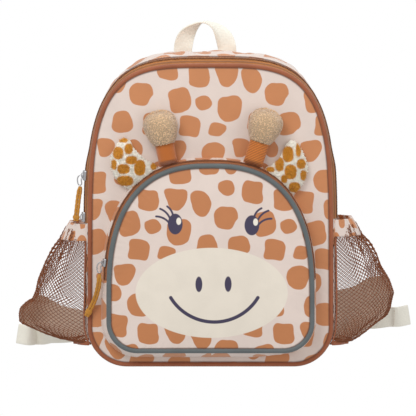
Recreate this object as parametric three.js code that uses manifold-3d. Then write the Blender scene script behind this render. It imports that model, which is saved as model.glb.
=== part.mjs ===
// Kids' animal backpack: a small arched zip bag with a rounded front pocket, padded ears and
// horns over the pocket, coarse net side pockets, a haul loop and two padded shoulder straps.
// Units are millimetres, +Z up. X is the width, the front faces -Y, and the origin is the
// middle of the flat base, on the surface that the bag stands on.

import * as THREE from "three";
import Module from "manifold-3d";
import { mergeVertices } from "three/addons/utils/BufferGeometryUtils.js";

// Clearance between sewn pieces
const SEAM_GAP = 0.3;

// Body
const BODY_WIDTH = 246;
const BODY_HEIGHT = 304;
const BODY_DEPTH = 90;
const BODY_CORNER_RADIUS = 42;
const BODY_SPRING_HEIGHT = 113;
const BODY_ARCH_EXPONENT = 3.75;
const BODY_PIPING_DIAMETER = 4.6;
const PANEL_CROWN = 7;
const PANEL_WALL = 2;
const BACK_PANEL_PADDING = 7;
const BACK_PANEL_CROWN = 4;
const GUSSET_WALL = 2;
const GUSSET_SIDE_CROWN = 3.3;
const GUSSET_SHOULDER_CROWN = 1.2;
const GUSSET_TOP_CROWN = 12;
const GUSSET_CREST_DEPTH = 11;

// Main zip
const MAIN_ZIP_WIDTH = 11;
const MAIN_ZIP_TAPE_WALL = 1.2;
const MAIN_COIL_WIDTH = 4.2;
const MAIN_COIL_HEIGHT = 1.2;

// Front pocket
const POCKET_SIDE_MARGIN = 19;
const POCKET_BOTTOM_MARGIN = 15;
const POCKET_HEIGHT = 190;
const POCKET_DEPTH = 24;
const POCKET_CORNER_RADIUS = 31;
const POCKET_ARCH_HEIGHT = 134;
const POCKET_ARCH_EXPONENT = 2.55;
const POCKET_PIPING_DIAMETER = 5;
const POCKET_CROWN = 7;
const POCKET_WALL = 2;
const POCKET_GUSSET_WALL = 1.8;
const POCKET_FLARE = 5.4;
const POCKET_ZIP_WIDTH = 8;
const POCKET_ZIP_TAPE_WALL = 1;
const POCKET_COIL_WIDTH = 3.4;
const POCKET_COIL_HEIGHT = 1;
const POCKET_ZIP_END_HEIGHT = 88;

// Zip sliders and pulls
const MAIN_SLIDER_LENGTH = 10;
const MAIN_SLIDER_WIDTH = 8;
const POCKET_SLIDER_LENGTH = 8;
const POCKET_SLIDER_WIDTH = 6;
const SLIDER_ROOF = 1.8;
const UPPER_SLIDER_HEIGHT = 191;
const LOWER_SLIDER_HEIGHT = 149.5;
const POCKET_SLIDER_HEIGHT = 105;
const WIRE_DIAMETER = 1.6;
const RIBBON_WIDTH = 5.4;
const RIBBON_THICKNESS = 2.4;
const MAIN_RIBBON_LENGTH = 35;
const POCKET_RIBBON_LENGTH = 46;

// Horns
const HORN_SPACING = 82;
const STEM_WIDTH = 19;
const STEM_DEPTH = 15;
const STEM_LENGTH = 25;
const TIP_WIDTH = 33.5;
const TIP_DEPTH = 28;
const TIP_HEIGHT = 34;

// Ears
const EAR_WIDTH = 46;
const EAR_HEIGHT = 50;
const EAR_PADDING = 9;
const EAR_HEM = 2.4;

// Net side pockets
const NET_BASE_HEIGHT = 22;
const NET_REACH = 70;
const NET_WALL = 1.6;
const HEM_HEIGHT = 17;
const HEM_WALL = 2.2;
const HEM_RIPPLE = 1.6;
const HEM_GATHER = 0.67;
const NET_MOUTH_HEIGHT = 142.5;

// Haul loop
const LOOP_WEBBING_WIDTH = 18.5;
const LOOP_WEBBING_WALL = 2.2;
const LOOP_SPREAD = 44;
const LOOP_RISE = 37;

// Shoulder straps and their webbing
const STRAP_WIDTH = 48;
const STRAP_THICKNESS = 9;
const STRAP_SPACING = 84;
const STRAP_TOP_HEIGHT = 276;
const STRAP_STANDOFF = 42;
const LOCK_HEIGHT = 72;
const LOCK_SPACING = 176;
const LOCK_WIDTH = 32;
const LOCK_RISE = 27;
const LOCK_THICKNESS = 4;
const LOCK_BAR = 3.4;
const WEBBING_WIDTH = 20;
const WEBBING_WALL = 1.5;
const ANCHOR_SPACING = 188;
const ANCHOR_HEIGHT = 16;
const TAIL_REACH = 194;
const TAIL_HEIGHT = 24;
const TAIL_TURN = 3;

// Finishes
const FINISHES = {
  print: { color: 0xdccdc2, roughness: 0.62, metalness: 0 },
  brown: { color: 0xa05f40, roughness: 0.6, metalness: 0 },
  mustard: { color: 0xa9702a, roughness: 0.75, metalness: 0 },
  grey: { color: 0x6e7676, roughness: 0.6, metalness: 0 },
  brownZip: { color: 0x9a6038, roughness: 0.75, metalness: 0 },
  plush: { color: 0xe9dcc6, roughness: 0.95, metalness: 0 },
  velvet: { color: 0xc97a38, roughness: 0.9, metalness: 0 },
  net: { color: 0x8a5a40, roughness: 0.8, metalness: 0 },
  webbing: { color: 0xefeae0, roughness: 0.85, metalness: 0 },
  plastic: { color: 0xe9e2d4, roughness: 0.45, metalness: 0 },
  steel: { color: 0xb8b8b4, roughness: 0.3, metalness: 1 },
};

// Side pockets: one row each side. Heights are shares of the net's height and reaches are
// shares of NET_REACH, measured out from the body's side.
const SIDE_POCKETS = [
  {
    name: "left",
    side: -1,
    hemTop: NET_MOUTH_HEIGHT,
    profile: [
      { height: 0.0, reach: 0.03 },
      { height: 0.03, reach: 0.36 },
      { height: 0.08, reach: 0.6 },
      { height: 0.14, reach: 0.8 },
      { height: 0.19, reach: 0.97 },
      { height: 0.27, reach: 1.0 },
      { height: 0.33, reach: 0.99 },
      { height: 0.39, reach: 0.9 },
      { height: 0.42, reach: 0.81 },
      { height: 0.5, reach: 0.75 },
      { height: 0.6, reach: 0.71 },
      { height: 0.78, reach: 0.61 },
      { height: 0.91, reach: 0.49 },
      { height: 1.0, reach: 0.39 },
    ],
  },
  {
    name: "right",
    side: 1,
    hemTop: NET_MOUTH_HEIGHT * 1.032,
    profile: [
      { height: 0.0, reach: 0.03 },
      { height: 0.02, reach: 0.27 },
      { height: 0.05, reach: 0.36 },
      { height: 0.11, reach: 0.48 },
      { height: 0.15, reach: 0.55 },
      { height: 0.2, reach: 0.66 },
      { height: 0.25, reach: 0.78 },
      { height: 0.32, reach: 0.84 },
      { height: 0.46, reach: 0.88 },
      { height: 0.57, reach: 0.81 },
      { height: 0.7, reach: 0.69 },
      { height: 0.81, reach: 0.63 },
      { height: 0.93, reach: 0.51 },
      { height: 1.0, reach: 0.4 },
    ],
  },
];
const NET_COLUMNS = 9;
const NET_ROW_HEIGHTS = [0, 0.07, 0.22, 0.4, 0.6, 0.8, 1];
const NET_HOLE_SHARE = 0.7;

// Ear outlines, seen from the front. The root is a share of the pocket's half width and
// height. "out" is a share of the ear's width, away from the bag's middle, and "up" a share
// of its height. The lowest points lie behind the pocket's arch, which trims the ear.
const EARS = [
  {
    name: "left",
    side: -1,
    root: { out: 0.519, up: 0.863 },
    outline: [
      { out: 0.0, up: 0.46 },
      { out: 0.23, up: 0.57 },
      { out: 0.48, up: 0.79 },
      { out: 0.61, up: 0.98 },
      { out: 0.75, up: 1.0 },
      { out: 0.97, up: 0.66 },
      { out: 0.99, up: 0.45 },
      { out: 0.86, up: 0.17 },
      { out: 0.68, up: 0.03 },
      { out: 0.36, up: -0.04 },
      { out: 0.04, up: 0.16 },
    ],
  },
  {
    name: "right",
    side: 1,
    root: { out: 0.51, up: 0.853 },
    outline: [
      { out: 0.04, up: 0.44 },
      { out: 0.2, up: 0.51 },
      { out: 0.38, up: 0.7 },
      { out: 0.48, up: 0.89 },
      { out: 0.59, up: 1.0 },
      { out: 0.73, up: 0.94 },
      { out: 0.89, up: 0.67 },
      { out: 0.95, up: 0.42 },
      { out: 0.88, up: 0.19 },
      { out: 0.67, up: -0.05 },
      { out: 0.34, up: -0.05 },
      { out: 0.05, up: 0.12 },
    ],
  },
];

// Horns: the lean is in degrees away from upright, to the side that the horn stands on, and
// "stem" a share of the stem's length.
const HORNS = [
  { name: "left", side: -1, lean: 12, stem: 0.96 },
  { name: "right", side: 1, lean: 17.5, stem: 1.08 },
];

// Terry tip of a horn: widths along its height as shares of the tip's own sizes.
const TIP_PROFILE = [
  { height: 0.0, width: 0.6 },
  { height: 0.12, width: 0.74 },
  { height: 0.32, width: 0.9 },
  { height: 0.55, width: 1.0 },
  { height: 0.76, width: 0.94 },
  { height: 0.9, width: 0.7 },
  { height: 0.98, width: 0.34 },
];

// Haul loop: places along the loop. "across" is a share of half its spread, "up" a share of
// its rise, "turn" the degrees that the webbing's width has turned from facing the front.
const HAUL_LOOP = [
  { across: -1.0, up: 0.0, turn: 0 },
  { across: -1.0, up: 0.3, turn: 0 },
  { across: -0.86, up: 0.58, turn: 24 },
  { across: -0.5, up: 0.83, turn: 52 },
  { across: -0.08, up: 0.96, turn: 84 },
  { across: 0.42, up: 0.86, turn: 58 },
  { across: 0.84, up: 0.58, turn: 26 },
  { across: 1.0, up: 0.3, turn: 0 },
  { across: 1.0, up: 0.0, turn: 0 },
];
const LOOP_MIDDLE = -5.5;

// Padded strap: "across" is a share of the way from the strap's top to the ladder lock,
// "back" a share of its standoff, "down" a share of its drop and "width" of its width.
const STRAP_ROUTE = [
  { across: 0.0, back: 0.0, down: 0.0, width: 1.0 },
  { across: 0.0, back: 0.04, down: 0.06, width: 1.0 },
  { across: 0.04, back: 0.42, down: 0.17, width: 1.0 },
  { across: 0.15, back: 0.85, down: 0.34, width: 1.0 },
  { across: 0.42, back: 1.0, down: 0.55, width: 1.0 },
  { across: 0.74, back: 0.88, down: 0.76, width: 1.0 },
  { across: 0.96, back: 0.7, down: 0.9, width: 0.9 },
  { across: 1.0, back: 0.62, down: 0.97, width: 0.62 },
  { across: 1.0, back: 0.62, down: 1.0, width: 0.5 },
];

// Webbing tails: where the free ends that show past the net pockets lie, a row each side.
const WEBBING_TAILS = [
  { name: "left", side: -1, tipOut: TAIL_REACH, tipHeight: TAIL_HEIGHT, tipTurn: TAIL_TURN },
  { name: "right", side: 1, tipOut: TAIL_REACH * 1.03, tipHeight: TAIL_HEIGHT * 1.77, tipTurn: TAIL_TURN * 3 },
];
const TAIL_STANDOFF = 13;
const TIP_FOLD_LENGTH = 15;

// Cord pulls, hanging from their sliders: "out" and "down" are shares of the pull's length,
// and "back" is a share of the way from the slider's depth to where the pull comes to rest.
const MAIN_PULL_ROUTE = [
  { out: 0.0, down: 0.0, back: 0.0 },
  { out: 0.05, down: 0.3, back: 0.2 },
  { out: 0.09, down: 0.64, back: 0.6 },
  { out: 0.13, down: 0.99, back: 1.0 },
];
const POCKET_PULL_ROUTE = [
  { out: 0.0, down: 0.0, back: 0.0 },
  { out: 0.01, down: 0.17, back: 0.06 },
  { out: 0.04, down: 0.34, back: 0.3 },
  { out: 0.11, down: 0.58, back: 0.7 },
  { out: 0.29, down: 0.94, back: 1.0 },
];

const wasm = await Module();
wasm.setup();

const FRONT_Y = -BODY_DEPTH / 2;
const BACK_Y = BODY_DEPTH / 2;
const PIPING_RADIUS = BODY_PIPING_DIAMETER / 2;
const POCKET_PIPING_RADIUS = POCKET_PIPING_DIAMETER / 2;
const POCKET_FRONT_Y = FRONT_Y - POCKET_DEPTH;
const POCKET_HALF_WIDTH = BODY_WIDTH / 2 - POCKET_SIDE_MARGIN;
const TURN = Math.PI * 2;

const bag = new THREE.Group();

/** Adds one closed solid to the bag as a named piece with its finish. */
function addPiece(name, geometry, finish, holder = bag) {
  const piece = new THREE.Mesh(geometry, new THREE.MeshStandardMaterial(FINISHES[finish]));
  piece.name = name;
  holder.add(piece);
  return piece;
}

/** Makes a closed geometry from corner points and triangles, with its faces pointing out. */
function closedGeometry(corners, triangles) {
  let volume = 0;
  for (let i = 0; i < triangles.length; i += 3) {
    const [a, b, c] = [corners[triangles[i]], corners[triangles[i + 1]], corners[triangles[i + 2]]];
    volume += a.dot(new THREE.Vector3().crossVectors(b, c));
  }
  const facing = volume < 0 ? [...triangles].reverse() : triangles;
  const geometry = new THREE.BufferGeometry();
  geometry.setAttribute("position", new THREE.Float32BufferAttribute(corners.flatMap((p) => p.toArray()), 3));
  geometry.setIndex(facing);
  geometry.computeVertexNormals();
  return geometry;
}

/** The middle of a loop of points. */
function middleOf(loop) {
  const sum = loop.reduce((total, point) => total.add(point), new THREE.Vector3());
  return sum.divideScalar(loop.length);
}

/** Joins loops of equal count into one solid: round in a ring, or capped at both ends. */
function solidOfLoops(loops, { ring = false, firstTip = null, lastTip = null } = {}) {
  const count = loops[0].length;
  const corners = loops.flat();
  const triangles = [];
  const spans = ring ? loops.length : loops.length - 1;
  for (let row = 0; row < spans; row += 1) {
    const next = (row + 1) % loops.length;
    for (let i = 0; i < count; i += 1) {
      const j = (i + 1) % count;
      const [a, b] = [row * count + i, row * count + j];
      const [d, c] = [next * count + i, next * count + j];
      triangles.push(a, b, c, a, c, d);
    }
  }
  if (!ring) {
    const firstCorner = corners.push(firstTip ?? middleOf(loops[0])) - 1;
    const lastCorner = corners.push(lastTip ?? middleOf(loops[loops.length - 1])) - 1;
    const lastRow = (loops.length - 1) * count;
    for (let i = 0; i < count; i += 1) {
      const j = (i + 1) % count;
      triangles.push(firstCorner, j, i);
      triangles.push(lastCorner, lastRow + i, lastRow + j);
    }
  }
  return closedGeometry(corners, triangles);
}

/** Cuts one closed geometry out of another. */
function cutAway(geometry, cutter) {
  const toSolid = (source) => {
    const bare = source.clone();
    bare.deleteAttribute("normal");
    bare.deleteAttribute("uv");
    const merged = mergeVertices(bare, 1e-4);
    return new wasm.Manifold(
      new wasm.Mesh({
        numProp: 3,
        vertProperties: new Float32Array(merged.attributes.position.array),
        triVerts: new Uint32Array(merged.index.array),
      }),
    );
  };
  const mesh = toSolid(geometry).subtract(toSolid(cutter)).getMesh();
  const result = new THREE.BufferGeometry();
  result.setAttribute("position", new THREE.Float32BufferAttribute(mesh.vertProperties, 3));
  result.setIndex(Array.from(mesh.triVerts));
  result.computeVertexNormals();
  return result;
}

/** Value between named rows, read by one column against another, along straight lines. */
function readTable(rows, keyColumn, valueColumn, key) {
  for (let i = 1; i < rows.length; i += 1) {
    const [low, high] = [rows[i - 1], rows[i]];
    if (key <= high[keyColumn]) {
      const share = Math.max(0, (key - low[keyColumn]) / (high[keyColumn] - low[keyColumn]));
      return THREE.MathUtils.lerp(low[valueColumn], high[valueColumn], share);
    }
  }
  return rows[rows.length - 1][valueColumn];
}

/** Right half of an arched outline, from the middle of its base to its top, closely stepped. */
function archedHalf({ halfWidth, base, top, cornerRadius, springHeight, exponent }) {
  const steps = 60;
  const half = [];
  const cornerX = halfWidth - cornerRadius;
  for (let i = 0; i < steps; i += 1) half.push({ x: (cornerX * i) / steps, z: base });
  for (let i = 0; i < steps; i += 1) {
    const angle = (Math.PI / 2) * (i / steps);
    half.push({
      x: cornerX + cornerRadius * Math.sin(angle),
      z: base + cornerRadius * (1 - Math.cos(angle)),
    });
  }
  const sideLength = springHeight - base - cornerRadius;
  for (let i = 0; i < steps; i += 1) {
    half.push({ x: halfWidth, z: base + cornerRadius + (sideLength * i) / steps });
  }
  for (let i = 0; i <= steps * 4; i += 1) {
    const angle = (Math.PI / 2) * (i / (steps * 4));
    half.push({
      x: halfWidth * Math.cos(angle) ** (2 / exponent),
      z: springHeight + (top - springHeight) * Math.sin(angle) ** (2 / exponent),
    });
  }
  half[half.length - 1].x = 0;
  return half;
}

/** Closed outline, stepped finer where it bends, with a point at each named height. */
function outlineLoop(half, segments, heights = []) {
  const bendWeight = 90;
  const heading = (i) => {
    const [a, b] = [half[Math.max(0, i - 1)], half[Math.min(half.length - 1, i + 1)]];
    return Math.atan2(b.z - a.z, b.x - a.x);
  };
  const reach = [0];
  for (let i = 1; i < half.length; i += 1) {
    const length = Math.hypot(half[i].x - half[i - 1].x, half[i].z - half[i - 1].z);
    reach.push(reach[i - 1] + length + bendWeight * Math.abs(heading(i) - heading(i - 1)));
  }
  const total = reach[reach.length - 1];
  const marks = [];
  for (let i = 0; i <= segments; i += 1) marks.push((total * i) / segments);
  for (const height of heights) {
    const i = half.findIndex((point, index) => index > 0 && point.z >= height && point.x > 0);
    const share = (height - half[i - 1].z) / (half[i].z - half[i - 1].z);
    const mark = THREE.MathUtils.lerp(reach[i - 1], reach[i], share);
    const near = marks.findIndex((value) => Math.abs(value - mark) < total / segments / 4);
    if (near > 0 && near < segments) marks[near] = mark;
    else marks.push(mark);
  }
  marks.sort((a, b) => a - b);
  const right = marks.map((mark) => {
    const i = Math.max(1, reach.findIndex((value) => value >= mark - 1e-9));
    const share = (mark - reach[i - 1]) / (reach[i] - reach[i - 1]);
    const angle = THREE.MathUtils.lerp(heading(i - 1), heading(i), share);
    return {
      x: THREE.MathUtils.lerp(half[i - 1].x, half[i].x, share),
      z: THREE.MathUtils.lerp(half[i - 1].z, half[i].z, share),
      nx: Math.sin(angle),
      nz: -Math.cos(angle),
    };
  });
  Object.assign(right[0], { x: 0, nx: 0, nz: -1 });
  Object.assign(right[right.length - 1], { x: 0, nx: 0, nz: 1 });
  const left = right.slice(1, -1).reverse();
  return [...right, ...left.map((p) => ({ x: -p.x, z: p.z, nx: -p.nx, nz: p.nz }))];
}

/** The point at an offset out from an outline point, at a depth. */
function offsetPoint(point, offset, y) {
  return new THREE.Vector3(point.x + point.nx * offset, y, point.z + point.nz * offset);
}

/** Sweeps a section of offset and depth pairs round an outline, or along a part of it. */
function bandSolid(points, section, ring) {
  const loops = points.map((point) => section(point).map(([offset, y]) => offsetPoint(point, offset, y)));
  return solidOfLoops(loops, { ring });
}

/** Round piping along an outline, its outer edge on the outline. */
function pipingSolid(loop, radius, y) {
  const sides = 6;
  const section = () =>
    Array.from({ length: sides }, (_, k) => {
      const angle = (TURN * k) / sides;
      return [radius * (Math.cos(angle) - 1), y + radius * Math.sin(angle)];
    });
  return bandSolid(loop, section, true);
}

/** Share of the way from a centre to a closed rim, along the ray through a point. */
function rimShare(rim, centreZ, x, z) {
  const [dx, dz] = [x, z - centreZ];
  if (Math.hypot(dx, dz) < 1e-6) return 0;
  for (let i = 0; i < rim.length; i += 1) {
    const [a, b] = [rim[i], rim[(i + 1) % rim.length]];
    const [ex, ez] = [b.x - a.x, b.z - a.z];
    const cross = dx * ez - dz * ex;
    const along = (a.x * ez - (a.z - centreZ) * ex) / cross;
    const share = (a.x * dz - (a.z - centreZ) * dx) / cross;
    if (along > 0 && share >= -1e-9 && share <= 1 + 1e-9) return 1 / along;
  }
  return 1;
}

// Shares of the way to a panel's rim at which its face is stepped
const PANEL_STEPS = [0.3, 0.62, 0.86, 1];

/** A crowned panel inside a rim: face(share) and lining(share) are its two depths. */
function panelSolid(rim, centreZ, face, lining) {
  const shares = PANEL_STEPS;
  const ringAt = (share, y) =>
    rim.map((p) => new THREE.Vector3(p.x * share, y, centreZ + (p.z - centreZ) * share));
  const front = shares.map((share) => ringAt(share, face(share)));
  const back = [...shares].reverse().map((share) => ringAt(share, lining(share)));
  return solidOfLoops([...front, ...back], {
    firstTip: new THREE.Vector3(0, face(0), centreZ),
    lastTip: new THREE.Vector3(0, lining(0), centreZ),
  });
}

/** Height of a crown at a share of the way to its rim. */
function crownAt(crown, share) {
  return crown * (1 - share * share);
}

/** Smooth route through a few points, read off at even steps with its direction. */
function routeStations(points, steps) {
  const curve = new THREE.CatmullRomCurve3(points, false, "centripetal");
  return Array.from({ length: steps + 1 }, (_, i) => ({
    at: curve.getPointAt(i / steps),
    along: curve.getTangentAt(i / steps),
    share: i / steps,
  }));
}

/** Flat or padded strip along a route: widthAt gives its width direction at a station. */
function stripSolid(stations, widthAt, corners) {
  const loops = stations.map((station) => {
    const across = widthAt(station).clone();
    across.addScaledVector(station.along, -across.dot(station.along)).normalize();
    const facing = new THREE.Vector3().crossVectors(station.along, across).normalize();
    return corners(station).map(([u, w]) =>
      station.at.clone().addScaledVector(across, u).addScaledVector(facing, w),
    );
  });
  return solidOfLoops(loops);
}

/** Corners of a flat strip's section. */
function flatSection(width, wall) {
  const [u, w] = [width / 2, wall / 2];
  return [[-u, -w], [u, -w], [u, w], [-u, w]];
}

/** Corners of an oval section. */
function ovalSection(width, depth, sides) {
  return Array.from({ length: sides }, (_, k) => {
    const angle = (TURN * (k + 0.5)) / sides;
    return [(width / 2) * Math.cos(angle), (depth / 2) * Math.sin(angle)];
  });
}

// Body outline, with a point where each main zip end meets its net hem
const ZIP_HEM_GAP = 1.2;
const zipEndOn = (side) => SIDE_POCKETS.find((row) => row.side === side).hemTop + ZIP_HEM_GAP;
const bodyLoop = outlineLoop(
  archedHalf({
    halfWidth: BODY_WIDTH / 2,
    base: 0,
    top: BODY_HEIGHT,
    cornerRadius: BODY_CORNER_RADIUS,
    springHeight: BODY_SPRING_HEIGHT,
    exponent: BODY_ARCH_EXPONENT,
  }),
  22,
  SIDE_POCKETS.map((row) => row.hemTop + ZIP_HEM_GAP),
);
const hasMainZip = (point) => point.z >= zipEndOn(Math.sign(point.x) || 1) - 1e-6;

const panelInset = -(BODY_PIPING_DIAMETER + SEAM_GAP);
const panelRim = bodyLoop.map((p) => ({ x: p.x + p.nx * panelInset, z: p.z + p.nz * panelInset }));
const panelCentreZ = BODY_HEIGHT / 2;

/** Depth of the front panel's outer face at a place on it. */
function frontFaceY(x, z) {
  const share = Math.min(1, rimShare(panelRim, panelCentreZ, x, z));
  return FRONT_Y - PANEL_WALL / 2 - crownAt(PANEL_CROWN, share);
}

/** Depth of the padded back panel's outer face at a share of the way to its rim. */
function backFace(share) {
  const padding = THREE.MathUtils.lerp(PANEL_WALL, BACK_PANEL_PADDING, Math.sqrt(1 - share ** 4));
  return BACK_Y - PANEL_WALL / 2 + padding + crownAt(BACK_PANEL_CROWN, share);
}

/** Front and back panels with the piping round them. */
function addPanels() {
  const frontFace = (share) => FRONT_Y - PANEL_WALL / 2 - crownAt(PANEL_CROWN, share);
  const frontLining = (share) => frontFace(share) + PANEL_WALL;
  addPiece("front_panel", panelSolid(panelRim, panelCentreZ, frontFace, frontLining), "print");
  addPiece("front_piping", pipingSolid(bodyLoop, PIPING_RADIUS, FRONT_Y), "brown");
  const backLining = (share) => BACK_Y - PANEL_WALL / 2 + crownAt(BACK_PANEL_CROWN, share);
  addPiece("back_panel", panelSolid(panelRim, panelCentreZ, backFace, backLining), "print");
  addPiece("back_piping", pipingSolid(bodyLoop, PIPING_RADIUS, BACK_Y), "brown");
}

/** How far the gusset stands out past the piping's edge, at an outline point and a depth. */
function gussetOffset(point, y) {
  const rise = THREE.MathUtils.smoothstep(point.z, BODY_CORNER_RADIUS / 6, BODY_CORNER_RADIUS * 1.6);
  const fromCrest = y - (FRONT_Y + GUSSET_CREST_DEPTH);
  const slope = fromCrest < 0 ? GUSSET_CREST_DEPTH : BODY_DEPTH - GUSSET_CREST_DEPTH;
  const shoulder = THREE.MathUtils.smoothstep(point.z, BODY_HEIGHT * 0.645, BODY_HEIGHT * 0.73);
  const crown = rise * THREE.MathUtils.lerp(GUSSET_SIDE_CROWN, GUSSET_SHOULDER_CROWN, shoulder);
  const side = crown * (1 - (fromCrest / slope) ** 2);
  const arch = THREE.MathUtils.clamp((point.z / BODY_HEIGHT - 0.862) / 0.138, 0, 1) ** 2.2;
  const across = y / (BODY_DEPTH / 2);
  return side + (GUSSET_TOP_CROWN - GUSSET_SIDE_CROWN) * arch * (1 - across * across);
}

const zipFrontY = FRONT_Y + PIPING_RADIUS + SEAM_GAP;
const zipBackY = zipFrontY + MAIN_ZIP_WIDTH;

/** The band round the bag between the two rows of piping, closed under the base. */
function addGusset() {
  const backEdge = BACK_Y - PIPING_RADIUS - SEAM_GAP;
  const section = (point) => {
    const frontEdge = hasMainZip(point) ? zipBackY + SEAM_GAP : zipFrontY;
    const depths = [0, 0.3, 0.62, 1].map((share) => THREE.MathUtils.lerp(frontEdge, backEdge, share));
    const outer = depths.map((y) => [gussetOffset(point, y), y]);
    const inner = outer.map(([offset, y]) => [offset - GUSSET_WALL, y]).reverse();
    return [...outer, ...inner];
  };
  addPiece("gusset", bandSolid(bodyLoop, section, true), "print");
}

/** The frame of a zip at an outline point: its two edges and the directions across and out. */
function zipFrame(point, offsetAt, frontY, backY) {
  const [low, high] = [offsetAt(point, frontY), offsetAt(point, backY)];
  const width = Math.hypot(high - low, backY - frontY);
  return {
    low,
    width,
    across: [(high - low) / width, (backY - frontY) / width],
    out: [(backY - frontY) / width, -(high - low) / width],
  };
}

/** A block on a zip's tape, from one share of its width to another, over a height range. */
function zipSection(point, offsetAt, frontY, backY, acrossRange, outRange) {
  const frame = zipFrame(point, offsetAt, frontY, backY);
  const corner = (across, out) => [
    frame.low + frame.across[0] * across + frame.out[0] * out,
    frontY + frame.across[1] * across + frame.out[1] * out,
  ];
  const [from, to] = acrossRange(frame.width);
  return [
    corner(from, outRange[0]),
    corner(to, outRange[0]),
    corner(to, outRange[1]),
    corner(from, outRange[1]),
  ];
}

/** A zip's tape and its coil, laid along the stretch of outline that the zip takes. */
function addZip(name, stretch, offsetAt, frontY, width, sizes, finish) {
  const backY = frontY + width;
  const edges = (p) => [[offsetAt(p, frontY), frontY], [offsetAt(p, backY), backY]];
  const tape = (p) => [
    ...edges(p),
    ...edges(p).reverse().map(([offset, y]) => [offset - sizes.tapeWall, y]),
  ];
  const middle = (length) => [(length - sizes.coilWidth) / 2, (length + sizes.coilWidth) / 2];
  const coilTop = SEAM_GAP + sizes.coilHeight;
  const coil = (p) => zipSection(p, offsetAt, frontY, backY, middle, [SEAM_GAP, coilTop]);
  addPiece(`${name}_tape`, bandSolid(stretch, tape, false), finish);
  addPiece(`${name}_coil`, bandSolid(stretch, coil, false), finish);
}

/** The unbroken run of outline points, from the right over the top to the left. */
function upperStretch(loop, belongs) {
  return loop.filter((point) => belongs(point) && point.z > 0);
}

const mainZipSizes = {
  tapeWall: MAIN_ZIP_TAPE_WALL,
  coilWidth: MAIN_COIL_WIDTH,
  coilHeight: MAIN_COIL_HEIGHT,
};
const mainStretch = upperStretch(bodyLoop, hasMainZip);

// Front pocket outline
const pocketLoop = outlineLoop(
  archedHalf({
    halfWidth: POCKET_HALF_WIDTH,
    base: POCKET_BOTTOM_MARGIN,
    top: POCKET_BOTTOM_MARGIN + POCKET_HEIGHT,
    cornerRadius: POCKET_CORNER_RADIUS,
    springHeight: POCKET_BOTTOM_MARGIN + POCKET_HEIGHT - POCKET_ARCH_HEIGHT,
    exponent: POCKET_ARCH_EXPONENT,
  }),
  18,
  [POCKET_ZIP_END_HEIGHT],
);
const pocketCentreZ = POCKET_BOTTOM_MARGIN + POCKET_HEIGHT * 0.45;
const pocketZipFrontY = POCKET_FRONT_Y + POCKET_PIPING_RADIUS + SEAM_GAP;
const pocketZipBackY = pocketZipFrontY + POCKET_ZIP_WIDTH;
const pocketZipSizes = {
  tapeWall: POCKET_ZIP_TAPE_WALL,
  coilWidth: POCKET_COIL_WIDTH,
  coilHeight: POCKET_COIL_HEIGHT,
};
const hasPocketZip = (point) => point.z >= POCKET_ZIP_END_HEIGHT - 1e-6;
const pocketStretch = upperStretch(pocketLoop, hasPocketZip);

/** How far the pocket's side stands out past its piping's edge at a depth. */
function pocketOffset(point, y) {
  const slope = FRONT_Y - pocketZipFrontY;
  const share = THREE.MathUtils.clamp((y - pocketZipFrontY) / slope, 0, 1);
  return POCKET_FLARE * (1 - (1 - share) ** 2);
}

/** The front pocket: its panel, piping, side band and zip, standing on the front panel. */
function addPocket() {
  const inset = -(POCKET_PIPING_DIAMETER + SEAM_GAP);
  const rim = pocketLoop.map((p) => ({ x: p.x + p.nx * inset, z: p.z + p.nz * inset }));
  const face = (share) => POCKET_FRONT_Y - POCKET_WALL / 2 - crownAt(POCKET_CROWN, share);
  const lining = (share) => face(share) + POCKET_WALL;
  addPiece("pocket_front", panelSolid(rim, pocketCentreZ, face, lining), "print");
  addPiece("pocket_piping", pipingSolid(pocketLoop, POCKET_PIPING_RADIUS, POCKET_FRONT_Y), "grey");
  const section = (point) => {
    const frontEdge = hasPocketZip(point) ? pocketZipBackY + SEAM_GAP : pocketZipFrontY;
    const foot = (offset) => {
      const at = offsetPoint(point, offset, 0);
      return frontFaceY(at.x, at.z) - SEAM_GAP;
    };
    const footOffset = pocketOffset(point, FRONT_Y);
    const outer = [
      [pocketOffset(point, frontEdge), frontEdge],
      [footOffset, foot(footOffset)],
    ];
    const inner = [
      [footOffset - POCKET_GUSSET_WALL, foot(footOffset - POCKET_GUSSET_WALL)],
      [pocketOffset(point, frontEdge) - POCKET_GUSSET_WALL, frontEdge],
    ];
    return [...outer, ...inner];
  };
  addPiece("pocket_gusset", bandSolid(pocketLoop, section, true), "print");
}

/** How far out the gusset's face stands from the bag's middle, at a depth and a height. */
function gussetReach(y, z) {
  const faces = bodyLoop.filter((p) => p.x > 0).map((p) => offsetPoint(p, gussetOffset(p, y), y));
  const i = faces.findIndex((face, index) => index > 0 && face.z >= z);
  const share = (z - faces[i - 1].z) / (faces[i].z - faces[i - 1].z);
  return THREE.MathUtils.lerp(faces[i - 1].x, faces[i].x, share);
}

const netHalfDepth = BODY_DEPTH / 2 - PIPING_RADIUS - SEAM_GAP;

/** The space inside the gusset's face, with the clearance that what is sewn on it keeps. */
function bodyBlock() {
  const depths = [-1, -0.6, -0.2, 0.2, 0.6, 1].map((share) => share * BODY_DEPTH);
  const within = (y) => THREE.MathUtils.clamp(y, -netHalfDepth, netHalfDepth);
  const faceAt = (y) => bodyLoop.map((p) => offsetPoint(p, gussetOffset(p, within(y)) + SEAM_GAP, y));
  return solidOfLoops(depths.map(faceAt));
}

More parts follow.
